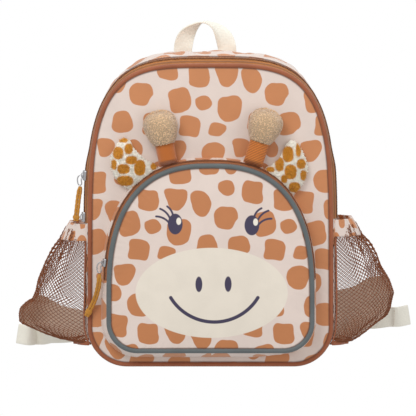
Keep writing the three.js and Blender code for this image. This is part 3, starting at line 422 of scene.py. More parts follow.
def even_angles(count: int) -> Array:
    """Angles evenly round a circle, half a step off its start."""
    return (np.arange(count) + 0.5) * TURN / count


def round_section(width: float, depth: float, sides: int) -> Array:
    """Corners of an oval section."""
    angle = even_angles(sides)
    return np.column_stack([np.cos(angle) * width / 2, np.sin(angle) * depth / 2])


def strap_section(width: float, depth: float, power: float = 4, corners: int = 32) -> Array:
    """Corners of a strap's section: flat faces with rounded edges.

    Args:
        width: the strap's width.
        depth: its thickness.
        power: how square its edges are.
        corners: how many corners.

    Returns:
        Rows of width and thickness.
    """
    angle = even_angles(corners)
    cos, sin = np.cos(angle), np.sin(angle)
    return np.column_stack([
        np.sign(cos) * np.abs(cos) ** (2 / power) * width / 2,
        np.sign(sin) * np.abs(sin) ** (2 / power) * depth / 2,
    ])


def route(places: Sequence[Sequence[float]], steps: int, closed: bool = False) -> Array:
    """A smooth line through a few places, evenly stepped.

    Args:
        places: the places, in order.
        steps: how many spans.
        closed: whether the line comes back to its start.

    Returns:
        Points along the line, the start again at the end of a closed one.
    """
    points = np.array(places, float)
    if closed:
        ghost = np.vstack([points[-1], points, points[:2]])
    else:
        ghost = np.vstack([2 * points[0] - points[1], points, 2 * points[-1] - points[-2]])
    line = [points[:1]]
    for i in range(len(ghost) - 3):
        p = ghost[i:i + 4]
        gap = np.sqrt(np.linalg.norm(np.diff(p, axis=0), axis=1).clip(1e-4))
        leave = (p[1] - p[0]) / gap[0] - (p[2] - p[0]) / (gap[0] + gap[1]) + (p[2] - p[1]) / gap[1]
        arrive = (p[2] - p[1]) / gap[1] - (p[3] - p[1]) / (gap[1] + gap[2]) + (p[3] - p[2]) / gap[2]
        t = np.linspace(0, 1, SPAN_STEPS + 1)[1:, None]
        leave, arrive = leave * gap[1], arrive * gap[1]
        line.append(p[1] + leave * t + (3 * (p[2] - p[1]) - 2 * leave - arrive) * t**2
                    + (2 * (p[1] - p[2]) + leave + arrive) * t**3)
    line = np.vstack(line)
    reach = reach_along(line)
    return sampled(np.linspace(0, reach[-1], steps + 1), reach, line)


def directions(line: Array) -> Array:
    """Unit directions along a line's points."""
    return unit(np.gradient(line, axis=0))


def beside(line: Array) -> Array:
    """Directions square to a line that runs in X and Z."""
    ahead = directions(line)
    return np.column_stack([-ahead[:, 2], 0 * ahead[:, 1], ahead[:, 0]])


def frames(line: Array, width_hint: Array) -> tuple[Array, Array]:
    """Width and thickness directions along a line.

    Args:
        line: the line's points.
        width_hint: the wished width direction at each point.

    Returns:
        The width directions nearest to the wished ones, and the thickness directions.
    """
    along = directions(line)
    across = unit(width_hint - along * np.sum(along * width_hint, axis=1)[:, None])
    return across, np.cross(along, across)


def make_piece(name: str, mesh: MeshData, material: bpy.types.Material,
               nodes: Sequence[str] = (), thickness: float = 0.0) -> bpy.types.Object:
    """Makes a Blender object that rides on the bag.

    Args:
        name: the piece's name.
        mesh: its mesh, in millimetres.
        material: its finish.
        nodes: the CAD nodes that it stands for.
        thickness: cloth thickness given to an open sheet, in millimetres.

    Returns:
        The object.
    """
    data = bpy.data.meshes.new(name)
    faces = [face.tolist() for group in mesh.faces for face in group]
    data.from_pydata((mesh.points * MM).tolist(), [], faces)
    data.polygons.foreach_set("use_smooth", np.ones(len(faces), bool))
    for key, value in mesh.values.items():
        attribute = data.attributes.new(key, "FLOAT", "POINT")
        attribute.data.foreach_set("value", np.asarray(value, np.float32))
    data.update()
    data.materials.append(material)
    piece = bpy.data.objects.new(name, data)
    bpy.context.scene.collection.objects.link(piece)
    if thickness:
        shell = piece.modifiers.new("cloth_thickness", "SOLIDIFY")
        shell.thickness = thickness * MM
        shell.offset = -1
    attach(piece, BODY)
    if nodes:
        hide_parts(*nodes)
    LOG.info("%s: %d points", name, len(mesh.points))
    return piece


class PatchShape(Enum):
    """How a printed patch is cut: corner squareness, widening downwards, tilt, and a bite."""

    SQUARE = (4.6, 0.02, 3.0, 0.0)
    ROUNDED = (3.0, -0.08, -6.0, 0.0)
    DROP = (3.2, -0.34, 4.0, 0.0)
    OVAL = (2.3, -0.1, -17.0, 0.0)
    KITE = (1.7, 0.12, 24.0, 0.0)
    DOME = (3.0, 0.24, 5.0, 0.0)
    BEAN = (2.9, 0.12, -4.0, 0.36)
    NOTCHED = (3.6, 0.06, 3.0, 0.28)
    PENTAGON = (2.6, -0.26, -5.0, 0.0)


WIDEST = 1.2
BITE_PLACE = (0.56, 0.5)
BITE_SOFTNESS = 3.0
BITE_EASE = 0.6


@dataclass(frozen=True)
class Patch:
    """One patch of the print: its middle in the repeat, its width and height, and its shape."""

    across: float
    down: float
    width: float
    height: float
    shape: PatchShape

    def distance(self, across: Array, down: Array) -> Array:
        """Signed distance to the patch's edge.

        Args:
            across: lengths to the right of the patch's middle.
            down: lengths below it.

        Returns:
            The distances, below zero inside.
        """
        power, widening, tilt, bite = self.shape.value
        turn = math.radians(tilt)
        u = across * math.cos(turn) + down * math.sin(turn)
        v = down * math.cos(turn) - across * math.sin(turn)
        b = v / (self.height / 2)
        a = u / (self.width / 2 * (1 + widening * np.clip(b, -WIDEST, WIDEST)))
        reach = (np.abs(a) ** power + np.abs(b) ** power) ** (1 / power)
        distance = (reach - 1) * min(self.width, self.height) / 2
        if bite:
            corner = np.hypot(u - self.width * BITE_PLACE[0], v - self.height * BITE_PLACE[1])
            gap = bite * self.width - corner - distance
            distance = distance + (gap + np.sqrt(gap**2 + BITE_SOFTNESS**2)) / 2 - BITE_EASE
        return distance


def within_repeat(length: Array, repeat: float) -> Array:
    """A length brought to the half repeats round zero."""
    return (length + repeat / 2) % repeat - repeat / 2


@dataclass(frozen=True)
class PatchPrint:
    """The giraffe print's repeat, drawn from the photograph."""

    repeat_width: float = 135.5
    repeat_height: float = 133.5
    wobble: float = 0.7
    tremble: float = 0.12
    patches: tuple[Patch, ...] = (
        Patch(10.2, 12.6, 20.7, 20.7, PatchShape.SQUARE),
        Patch(38.1, 11.8, 20.7, 21.5, PatchShape.DROP),
        Patch(62.8, 15.8, 19.5, 26.3, PatchShape.OVAL),
        Patch(88.8, -0.1, 18.0, 16.0, PatchShape.KITE),
        Patch(114.6, 4.7, 20.7, 22.3, PatchShape.SQUARE),
        Patch(14.5, 38.5, 18.0, 15.0, PatchShape.KITE),
        Patch(41.0, 44.5, 24.0, 25.5, PatchShape.ROUNDED),
        Patch(88.8, 30.2, 24.0, 22.0, PatchShape.BEAN),
        Patch(126.5, 36.5, 22.0, 25.0, PatchShape.ROUNDED),
        Patch(0.8, 62.5, 20.7, 20.7, PatchShape.SQUARE),
        Patch(29.0, 66.0, 17.0, 13.0, PatchShape.NOTCHED),
        Patch(69.0, 57.5, 20.0, 22.0, PatchShape.DOME),
        Patch(100.5, 60.0, 21.5, 22.0, PatchShape.NOTCHED),
        Patch(122.0, 87.0, 20.7, 21.5, PatchShape.PENTAGON),
        Patch(24.6, 91.0, 22.0, 24.0, PatchShape.PENTAGON),
        Patch(109.5, 106.0, 18.0, 17.0, PatchShape.ROUNDED),
        Patch(0.5, 118.0, 21.0, 23.0, PatchShape.ROUNDED),
        Patch(42.0, 119.0, 22.0, 22.0, PatchShape.SQUARE),
        Patch(52.0, 84.5, 16.0, 19.0, PatchShape.DROP),
        Patch(82.0, 85.0, 14.0, 18.0, PatchShape.OVAL),
        Patch(72.0, 110.0, 19.0, 22.0, PatchShape.DOME),
        Patch(94.0, 112.0, 14.0, 17.0, PatchShape.KITE),
    )

    def distance(self, across: Array, down: Array) -> Array:
        """Signed distance from places on the cloth to the nearest patch's edge.

        Args:
            across: lengths to the right of the repeat's left edge.
            down: lengths below the repeat's upper edge.

        Returns:
            The distances, below zero inside a patch.
        """
        u = across + self.wobble * np.sin(TURN * down / 23 + 0.6)
        u = u + self.tremble * np.sin(TURN * (down + across) / 9.1)
        v = down + self.wobble * np.sin(TURN * across / 27 + 2.1)
        v = v + self.tremble * np.sin(TURN * (across - down) / 10.3)
        nearest = np.full(np.shape(u), FAR)
        for patch in self.patches:
            near = patch.distance(within_repeat(u - patch.across, self.repeat_width),
                                  within_repeat(v - patch.down, self.repeat_height))
            nearest = np.minimum(nearest, near)
        return nearest


@dataclass(frozen=True)
class PhotoScale:
    """Where the photograph's pixels lie on the bag's front, in millimetres."""

    middle_column: float = 210.5
    ground_row: float = 367.3

    def place(self, column: float, row: float) -> tuple[float, float]:
        """The x and z of a pixel."""
        return column - self.middle_column, self.ground_row - row


PRINT = PatchPrint()
PHOTO = PhotoScale()
BODY_REPEAT_CORNER = PHOTO.place(53.2, 63.8)
POCKET_REPEAT_CORNER = PHOTO.place(138.0, 186.0)
GUSSET_REPEAT_CORNER = (-37.0, 53.0)
BACK_REPEAT_CORNER = (20.0, 300.0)
BAND_REPEAT_CORNER = (-60.0, 30.0)
STRAP_REPEAT_CORNER = (-30.0, 260.0)
HEM_REPEAT_CORNER = {Side.LEFT: (-13.0, 210.0), Side.RIGHT: (-75.0, 210.0)}


def printed(mesh: MeshData, corner: tuple[float, float], across: Array, up: Array) -> MeshData:
    """Lays the print on a mesh.

    Args:
        mesh: the cloth.
        corner: the repeat's upper left corner on the cloth.
        across: the points' places to the right on the cloth.
        up: their heights on the cloth.

    Returns:
        The same mesh with a value for the print.
    """
    across, up = np.broadcast_arrays(across, up)
    mesh.values["patch"] = PRINT.distance(across.ravel() - corner[0], corner[1] - up.ravel())
    return mesh


Socket = bpy.types.NodeSocket
Feed = Socket | float | Colour


class NodeSketch:
    """Builds a material's nodes from short calls."""

    def __init__(self, name: str) -> None:
        """Starts a material with one principled shader.

        Args:
            name: the material's name.
        """
        self.material = bpy.data.materials.new(name)
        self.material.use_nodes = True
        self.nodes = self.material.node_tree.nodes
        self.links = self.material.node_tree.links
        self.shader = self.nodes["Principled BSDF"]

    def feed(self, socket: Socket, source: Feed) -> None:
        """Gives an input a link, a number or a colour.

        Args:
            socket: the input.
            source: what it gets.
        """
        if isinstance(source, Socket):
            self.links.new(source, socket)
        elif isinstance(source, tuple) and socket.type == "RGBA":
            socket.default_value = (*source, 1.0)
        else:
            socket.default_value = source

    def math(self, operation: str, *inputs: Feed) -> Socket:
        """A math node's result.

        Args:
            operation: the node's operation.
            inputs: its inputs, in order.

        Returns:
            The result.
        """
        node = self.nodes.new("ShaderNodeMath")
        node.operation = operation
        for socket, source in zip(node.inputs, inputs):
            self.feed(socket, source)
        return node.outputs[0]

    def hypotenuse(self, first: Feed, second: Feed) -> Socket:
        """The diagonal of two lengths."""
        squares = (self.math("MULTIPLY", side, side) for side in (first, second))
        return self.math("SQRT", self.math("ADD", *squares))

    def step(self, value: Feed, low: float, high: float, at_low: float = 0.0, at_high: float = 1.0) -> Socket:
        """A soft step between two values.

        Args:
            value: what is read.
            low: where the step begins.
            high: where it ends.
            at_low: the result up to low.
            at_high: the result from high on.

        Returns:
            The result.
        """
        node = self.nodes.new("ShaderNodeMapRange")
        node.interpolation_type = "SMOOTHSTEP"
        for socket, source in zip(node.inputs, (value, low, high, at_low, at_high)):
            self.feed(socket, source)
        return node.outputs[0]

    def mix(self, share: Feed, first: Feed, second: Feed, blend: str = "MIX") -> Socket:
        """Two colours mixed.

        Args:
            share: the second colour's share.
            first: the first colour.
            second: the second colour.
            blend: how they are blended.

        Returns:
            The mixed colour.
        """
        node = self.nodes.new("ShaderNodeMix")
        node.data_type = "RGBA"
        node.blend_type = blend
        self.feed(node.inputs[0], share)
        self.feed(node.inputs[6], first)
        self.feed(node.inputs[7], second)
        return node.outputs[2]

    def dimmed(self, colour: Feed, shade: Socket) -> Socket:
        """A colour darkened by a shade.

        Args:
            colour: the colour.
            shade: 1 where the colour stays and 0 where it turns black.

        Returns:
            The darkened colour.
        """
        grey = self.nodes.new("ShaderNodeCombineColor")
        for socket in grey.inputs:
            self.feed(socket, shade)
        return self.mix(1.0, colour, grey.outputs[0], "MULTIPLY")

    def attribute(self, name: str) -> Socket:
        """A value that the mesh carries."""
        node = self.nodes.new("ShaderNodeAttribute")
        node.attribute_name = name
        return node.outputs["Fac"]

    def place(self) -> Socket:
        """The place on the bag, in metres."""
        return self.nodes.new("ShaderNodeTexCoord").outputs["Object"]

    def axes(self) -> tuple[Socket, Socket, Socket]:
        """The place on the bag, in millimetres, axis by axis."""
        split = self.nodes.new("ShaderNodeSeparateXYZ")
        self.feed(split.inputs[0], self.place())
        return tuple(self.math("MULTIPLY", split.outputs[k], 1 / MM) for k in range(3))

    def noise(self, size: float, detail: float = 2.0, roughness: float = 0.5,
              stretch: tuple[float, float, float] = (1, 1, 1)) -> Socket:
        """Soft noise.

        Args:
            size: about how large its grains are, in millimetres.
            detail: how many finer layers it has.
            roughness: how strong they are.
            stretch: how much the noise is pressed together along each axis.

        Returns:
            The noise.
        """
        mapping = self.nodes.new("ShaderNodeMapping")
        self.feed(mapping.inputs["Vector"], self.place())
        mapping.inputs["Scale"].default_value = stretch
        node = self.nodes.new("ShaderNodeTexNoise")
        self.feed(node.inputs["Vector"], mapping.outputs[0])
        node.inputs["Scale"].default_value = 1 / (size * MM)
        node.inputs["Detail"].default_value = detail
        node.inputs["Roughness"].default_value = roughness
        return node.outputs[0]

    def bump(self, height: Feed, depth: float) -> None:
        """Raises the surface.

        Args:
            height: how far it rises, as a share of the depth.
            depth: the greatest rise, in millimetres.
        """
        node = self.nodes.new("ShaderNodeBump")
        node.inputs["Strength"].default_value = 1.0
        node.inputs["Distance"].default_value = depth * MM
        self.feed(node.inputs["Height"], height)
        self.links.new(node.outputs[0], self.shader.inputs["Normal"])

    def finish(self, colour: Feed, roughness: Feed, **plain: float) -> bpy.types.Material:
        """Sets the shader's colour, roughness and plain values.

        Args:
            colour: the base colour.
            roughness: the roughness.
            plain: other inputs by their name, with _ for a space.

        Returns:
            The material.
        """
        self.feed(self.shader.inputs["Base Color"], colour)
        self.feed(self.shader.inputs["Roughness"], roughness)
        for name, value in plain.items():
            self.shader.inputs[name.replace("_", " ")].default_value = value
        return self.material


def srgb(red: int, green: int, blue: int) -> Colour:
    """A screen colour as the linear values that a shader takes."""
    return tuple((c / 255 / 12.92) if c <= 10 else ((c / 255 + 0.055) / 1.055) ** 2.4
                 for c in (red, green, blue))


@dataclass(frozen=True)
class ClothFinish:
    """Plain woven cloth, with painted shade along its seams."""

    name: str
    colour: Colour
    roughness: float = 0.62
    thread: float = 0.5
    relief: float = 0.12
    mottle: float = 0.14
    sheen: float = 0.25
    # Dark colour painted as shade beside seams, where the mesh's shade value says.
    crease_and_seam_shade: Colour = srgb(84, 46, 30)

    def base(self, sketch: NodeSketch) -> Feed:
        """The cloth's colour before its mottle."""
        return self.colour

    def material(self) -> bpy.types.Material:
        """Builds the material.

        Returns:
            The material.
        """
        sketch = NodeSketch(self.name)
        cloud = sketch.noise(22.0, 3.0)
        shade = sketch.step(cloud, 0.3, 0.7, 1 - self.mottle, 1.0)
        # Painted shade: the mesh's shade value turns the cloth towards the dark seam colour.
        colour = sketch.mix(sketch.attribute("shade"), self.base(sketch), self.crease_and_seam_shade)
        colour = sketch.dimmed(colour, shade)
        weave = sketch.math("ADD", sketch.noise(self.thread, 1.0, 0.4, (1, 1, 0.28)),
                            sketch.noise(self.thread, 1.0, 0.4, (0.28, 0.28, 1)))
        sketch.bump(weave, self.relief)
        return sketch.finish(colour, self.roughness, Sheen_Weight=self.sheen, Sheen_Roughness=0.45)


@dataclass(frozen=True)
class PrintedFinish(ClothFinish):
    """Satin cloth with the patch print."""

    ground: Colour = srgb(224, 207, 197)
    edge: float = 0.35

    def base(self, sketch: NodeSketch) -> Feed:
        """The print on its ground."""
        inside = sketch.step(sketch.attribute("patch"), -self.edge, self.edge, 1.0, 0.0)
        return sketch.mix(inside, self.ground, self.colour)


@dataclass(frozen=True)
class Oval:
    """An upright oval of the printed face: middle, width and height in pixels."""

    column: float
    row: float
    width: float
    height: float

    def cover(self, sketch: NodeSketch, x: Socket, z: Socket, edge: float) -> Socket:
        """How far a place is covered by the oval.

        Args:
            sketch: the material's nodes.
            x: the place's x.
            z: its height.
            edge: half the width of the soft edge.

        Returns:
            1 inside and 0 outside.
        """
        centre_x, centre_z = PHOTO.place(self.column, self.row)
        a = sketch.math("DIVIDE", sketch.math("SUBTRACT", x, centre_x), self.width / 2)
        b = sketch.math("DIVIDE", sketch.math("SUBTRACT", z, centre_z), self.height / 2)
        share = edge / min(self.width, self.height) * 2
        return sketch.step(sketch.hypotenuse(a, b), 1 - share, 1 + share, 1.0, 0.0)


@dataclass(frozen=True)
class Stroke:
    """A round-ended curved stroke of the printed face, as part of a ring.

    The middle and radius are in pixels, the angles in degrees, counted from straight down.
    """

    column: float
    row: float
    radius: float
    facing: float
    half_range: float
    width: float

    def cover(self, sketch: NodeSketch, x: Socket, z: Socket, edge: float) -> Socket:
        """How far a place is covered by the stroke.

        Args:
            sketch: the material's nodes.
            x: the place's x.
            z: its height.
            edge: half the width of the soft edge.

        Returns:
            1 inside and 0 outside.
        """
        centre_x, centre_z = PHOTO.place(self.column, self.row)
        facing, reach = math.radians(self.facing), math.radians(self.half_range)
        from_x = sketch.math("SUBTRACT", x, centre_x)
        from_z = sketch.math("SUBTRACT", z, centre_z)
        ahead = sketch.math("SUBTRACT", sketch.math("MULTIPLY", from_x, math.sin(facing)),
                            sketch.math("MULTIPLY", from_z, math.cos(facing)))
        aside = sketch.math("ABSOLUTE", sketch.math(
            "ADD", sketch.math("MULTIPLY", from_x, math.cos(facing)),
            sketch.math("MULTIPLY", from_z, math.sin(facing))))
        ring = sketch.math("ABSOLUTE", sketch.math("SUBTRACT", sketch.hypotenuse(ahead, aside), self.radius))
        end_a = sketch.math("SUBTRACT", aside, self.radius * math.sin(reach))
        end_b = sketch.math("SUBTRACT", ahead, self.radius * math.cos(reach))
        tip = sketch.hypotenuse(end_a, end_b)
        past = sketch.math("GREATER_THAN", sketch.math(
            "SUBTRACT", sketch.math("MULTIPLY", aside, math.cos(reach)),
            sketch.math("MULTIPLY", ahead, math.sin(reach))), 0.0)
        distance = sketch.math("ADD", sketch.math("MULTIPLY", tip, past),
                               sketch.math("MULTIPLY", ring, sketch.math("SUBTRACT", 1.0, past)))
        return sketch.step(distance, self.width / 2 - edge, self.width / 2 + edge, 1.0, 0.0)


def lash(root: tuple[float, float], tip: tuple[float, float], bend: float, width: float = 2.0) -> Stroke:
    """A lash as a slightly bent stroke between two pixels.

    Args:
        root: pixel at the eye.
        tip: pixel at the free end.
        bend: how far the middle stands off the straight line, to the left seen from the root.
        width: the stroke's width.

    Returns:
        The stroke.
    """
    run_x, run_z = tip[0] - root[0], root[1] - tip[1]
    chord = math.hypot(run_x, run_z)
    radius = (chord**2 / 4 + bend**2) / (2 * abs(bend))
    side = math.copysign(1, bend)
    normal_x, normal_z = -run_z / chord * side, run_x / chord * side
    middle_x, middle_z = (root[0] + tip[0]) / 2, -(root[1] + tip[1]) / 2
    centre_x = middle_x - normal_x * (radius - abs(bend))
    centre_z = middle_z - normal_z * (radius - abs(bend))
    facing = math.degrees(math.atan2(normal_x, -normal_z))
    half_range = math.degrees(math.asin(min(1, chord / 2 / radius)))
    return Stroke(centre_x, -centre_z, radius, facing, half_range, width)


@dataclass(frozen=True)
class FaceFinish(PrintedFinish):
    """The pocket's cloth: the patch print with a plain animal's face over it."""

    muzzle_colour: Colour = srgb(230, 220, 205)
    line_colour: Colour = srgb(58, 50, 78)
    shine_colour: Colour = srgb(238, 230, 216)
    muzzle: Oval = Oval(211.7, 291.4, 152.0, 90.4)
    dark_ovals: tuple[Oval, ...] = (
        Oval(175.3, 222.5, 14.7, 20.7),
        Oval(251.8, 223.8, 14.7, 20.0),
        Oval(198.9, 282.7, 6.9, 15.5),
        Oval(228.1, 282.5, 6.9, 15.5),
    )
    shines: tuple[Oval, ...] = (Oval(178.8, 219.7, 4.8, 7.2), Oval(255.5, 220.6, 4.8, 7.2))
    strokes: tuple[Stroke, ...] = (
        Stroke(214.3, 269.7, 50.9, 0.0, 58.7, 3.5),
        lash((169.4, 221.6), (156.2, 215.0), -1.7),
        lash((170.0, 217.0), (160.2, 207.4), -1.5),
        lash((173.0, 214.0), (167.3, 205.0), -1.1),
        lash((254.4, 214.5), (261.4, 206.9), 1.1),
        lash((257.8, 218.6), (268.3, 209.3), 1.5),
        lash((258.6, 223.0), (271.4, 217.3), 1.7),
    )

    def base(self, sketch: NodeSketch) -> Feed:
        """The face over the print.

        Args:
            sketch: the material's nodes.

        Returns:
            The colour.
        """
        x, _, z = sketch.axes()
        colour = super().base(sketch)
        colour = sketch.mix(self.muzzle.cover(sketch, x, z, self.edge), colour, self.muzzle_colour)
        for shape in (*self.dark_ovals, *self.strokes):
            colour = sketch.mix(shape.cover(sketch, x, z, self.edge), colour, self.line_colour)
        for shape in self.shines:
            colour = sketch.mix(shape.cover(sketch, x, z, self.edge), colour, self.shine_colour)
        return colour


@dataclass(frozen=True)
class HardFinish:
    """Metal or plastic."""

    name: str
    colour: Colour
    roughness: float = 0.3
    metal: float = 0.0
    wear: float = 0.1

    def material(self) -> bpy.types.Material:
        """Builds the material.

        Returns:
            The material.
        """
        sketch = NodeSketch(self.name)
        rough = sketch.step(sketch.noise(3.0, 3.0), 0.3, 0.7, self.roughness, self.roughness + self.wear)
        sketch.bump(sketch.noise(1.4, 2.0), 0.02)
        return sketch.finish(self.colour, rough, Metallic=self.metal)


@dataclass(frozen=True)
class PileFinish:
    """Plush, terry or velvet: a ground colour and a second one where the mesh says so, darker deep in the
    pile as painted shade.
    """

    name: str
    colour: Colour
    spot: Colour | None = None
    roughness: float = 0.9
    sheen: float = 0.5
    grain: float = 1.2
    relief: float = 0.2
    # Brightness left at the bottom of the pile: painted shade in its hollows.
    hollow_shade: float = 0.85

    def material(self) -> bpy.types.Material:
        """Builds the material.

        Returns:
            The material.
        """
        sketch = NodeSketch(self.name)
        inside = sketch.step(sketch.attribute("patch"), -0.6, 0.6, 1.0, 0.0)
        colour = sketch.mix(inside, self.colour, self.spot or self.colour)
        # Painted shade: the colour darkens towards the bottom of the pile, by the mesh's pile value.
        colour = sketch.dimmed(colour, sketch.step(sketch.attribute("pile"), 0.0, 1.0, self.hollow_shade, 1.0))
        sketch.bump(sketch.noise(self.grain, 3.0, 0.6), self.relief)
        return sketch.finish(colour, self.roughness, Sheen_Weight=self.sheen, Sheen_Roughness=0.5)


def flipped(mesh: MeshData) -> MeshData:
    """The same mesh with its faces turned over."""
    return MeshData(mesh.points, [face[:, ::-1] for face in mesh.faces], mesh.values)


def bead(sides: int = 6, rings: int = 4) -> MeshData:
    """A small round bead of radius 1 whose poles lie on Z.

    Args:
        sides: points in each ring.
        rings: spans from pole to pole.

    Returns:
        The bead.
    """
    polar = np.linspace(0, math.pi, rings + 1)[1:-1]
    angle = np.arange(sides) * TURN / sides
    ring = np.stack([
        np.sin(polar)[:, None] * np.cos(angle), np.sin(polar)[:, None] * np.sin(angle),
        np.repeat(np.cos(polar)[:, None], sides, axis=1),
    ], axis=-1)
    mesh = capped(grid(ring, wrap_columns=True), np.arange(sides), np.arange(sides) + sides * (rings - 2))
    mesh.points[-2:] = [[0, 0, 1], [0, 0, -1]]
    return mesh


def scatter(shape: MeshData, centres: Array, *axes: Array) -> MeshData:
    """Many copies of a small shape.

    Args:
        shape: the shape, of about unit size.
        centres: where the copies go.
        axes: three arrays, what each copy's X, Y and Z axis becomes, with its length.

    Returns:
        All copies as one mesh.
    """
    points = centres[:, None] + sum(shape.points[None, :, k:k + 1] * axes[k][:, None] for k in range(3))
    shift = (np.arange(len(centres)) * len(shape.points))[:, None, None]
    faces = [(face[None] + shift).reshape(-1, face.shape[1]) for face in shape.faces]
    return MeshData(points.reshape(-1, 3), faces)


def joined(meshes: Sequence[MeshData]) -> MeshData:
    """Several meshes as one.

    Args:
        meshes: the meshes, at least one.

    Returns:
        The joined mesh.
    """
    whole = meshes[0]
    for mesh in meshes[1:]:
        whole = whole.join(mesh)
    return whole


def stitches(line: Array, out: Array, pitch: float = 3.2, length: float = 2.3,
             thread: float = 0.5) -> MeshData:
    """A row of stitches along a line.

    Args:
        line: points along the line.
        out: which way the surface faces at each point.
        pitch: from one stitch to the next.
        length: a stitch's length.
        thread: the thread's thickness.

    Returns:
        The stitches.
    """
    reach = reach_along(line)
    marks = np.arange(pitch / 2, reach[-1], pitch)
    centres, along, facing = (sampled(marks, reach, rows) for rows in (line, directions(line), out))
    along = unit(along)
    across = np.cross(along, facing)
    return scatter(bead(6, 4), centres + facing * thread * 0.25, across * thread / 2,
                   facing * thread / 2, along * length / 2)


class SeamLine:
    """Reads a closed outline by the length from its top, positive to the right."""

    def __init__(self, outline: ArchedOutline, count: int = 2400) -> None:
        """Steps the outline closely."""
        points, normals, runs = outline.loop(count)
        self.points, self.normals, self.runs = points[::-1], normals[::-1], runs[::-1]
        self.length = self.runs[-1] * 2

    def ring(self, count: int) -> Array:
        """Even lengths all round."""
        return np.arange(count) * self.length / count - self.length / 2

    def at(self, runs: Array) -> tuple[Array, Array]:
        """Outline points and outward normals at some lengths."""
        return (sampled(runs, self.runs, self.points, self.length),
                sampled(runs, self.runs, self.normals, self.length))

    def run_at(self, side: Side, height: float) -> float:
        """The length at which one side's outline falls to a height."""
        mask = self.runs * side.value >= 0
        order = np.argsort(self.points[mask, 1])
        return float(np.interp(height, self.points[mask, 1][order], self.runs[mask][order]))


def raised(points: Array, normals: Array, offset: Array, depth: Array) -> Array:
    """Places off an outline.

    Args:
        points: outline points, as rows of x and z.
        normals: their outward normals.
        offset: how far out, rows by points.
        depth: each row's y, rows by points.

    Returns:
        Rows by points by x, y and z.
    """
    flat = points[None] + normals[None] * offset[..., None]
    return np.stack([flat[..., 0], np.broadcast_to(depth, offset.shape), flat[..., 1]], axis=-1)


@dataclass
class CrownedPanel:
    """A crowned sheet of cloth inside a row of piping."""

    outline: ArchedOutline
    inset: float
    centre_z: float
    rays: int
    rings: int
    pucker: float = 0.4
    pucker_reach: float = 7.0
    puckers: Waves = Waves((9.1, 5.7, 23.0), (0.0, 1.3, 0.4))
    slack: float = 0.5
    shade: float = 0.85
    shade_width: float = 0.8
    even_share: float = 0.962
    near_rim: tuple[float, ...] = (0.03, 0.022, 0.016, 0.0115, 0.0085, 0.006, 0.003, 0.0)

    def mesh(self, depth_of: Callable[[Array, Array, Array], Array], out: int) -> MeshData:
        """Builds the sheet.

        Args:
            depth_of: gives y from x, z and the share of the way to the rim.
            out: which way it faces, as the sign of Y.

        Returns:
            The sheet.
        """
        seam = SeamLine(self.outline)
        runs = seam.ring(self.rays)
        points, normals = seam.at(runs)
        rim = points - normals * self.inset
        middle = np.array([0.0, self.centre_z])
        even = np.linspace(0, self.even_share, self.rings)[1:]
        share = np.concatenate([even, 1 - np.array(self.near_rim)])[:, None]
        flat = middle + (rim - middle)[None] * share[..., None]
        x, z = flat[..., 0], flat[..., 1]
        within = np.linalg.norm(rim - middle, axis=1)[None] * (1 - share)
        folds = np.exp(-within / self.pucker_reach) * self.puckers.at(runs[None])
        waves = ripple(x / 19 + z / 31, x / 43 - z / 27 + 2, z / 17 + x / 61)
        waves = waves * self.slack * share**0.5 * (1 - share**4)
        y = depth_of(x, z, np.broadcast_to(share, x.shape)) + out * (folds * self.pucker + waves)
        mesh = grid(np.stack([x, y, z], axis=-1), wrap_columns=True)
        mesh.points = np.vstack([mesh.points, mesh.points[:self.rays].mean(0)])
        # Painted shade: a narrow dark band of cloth along the piping.
        shade = self.shade * np.exp(-((within - UNDER_PIPING).clip(0) / self.shade_width) ** 2)
        mesh.values["shade"] = np.append(shade.ravel(), 0.0)
        first = np.arange(self.rays)
        mesh.faces.append(np.column_stack([first, np.full_like(first, len(mesh.points) - 1),
                                           np.roll(first, -1)]))
        return mesh if out > 0 else flipped(mesh)


@dataclass
class Piping:
    """A round cloth-covered cord along an outline."""

    outline: ArchedOutline
    diameter: float
    depth: float
    segments: int = 900
    sides: int = 14
    gather: float = 0.02
    gathers: Waves = Waves((3.4, 5.3, 11.0), (0.0, 1.0, 0.0))

    def mesh(self) -> MeshData:
        """Builds the piping with the small gathers of its cover.

        Returns:
            The piping.
        """
        seam = SeamLine(self.outline)
        runs = seam.ring(self.segments)
        points, normals = seam.at(runs)
        angle = np.arange(self.sides) * TURN / self.sides
        radius = self.diameter / 2 * (1 - self.gather * (1 + self.gathers.at(runs)))[None]
        offset = -self.diameter / 2 + np.cos(angle)[:, None] * radius
        return flipped(grid(raised(points, normals, offset, self.depth + np.sin(angle)[:, None] * radius),
                            wrap_rows=True, wrap_columns=True))


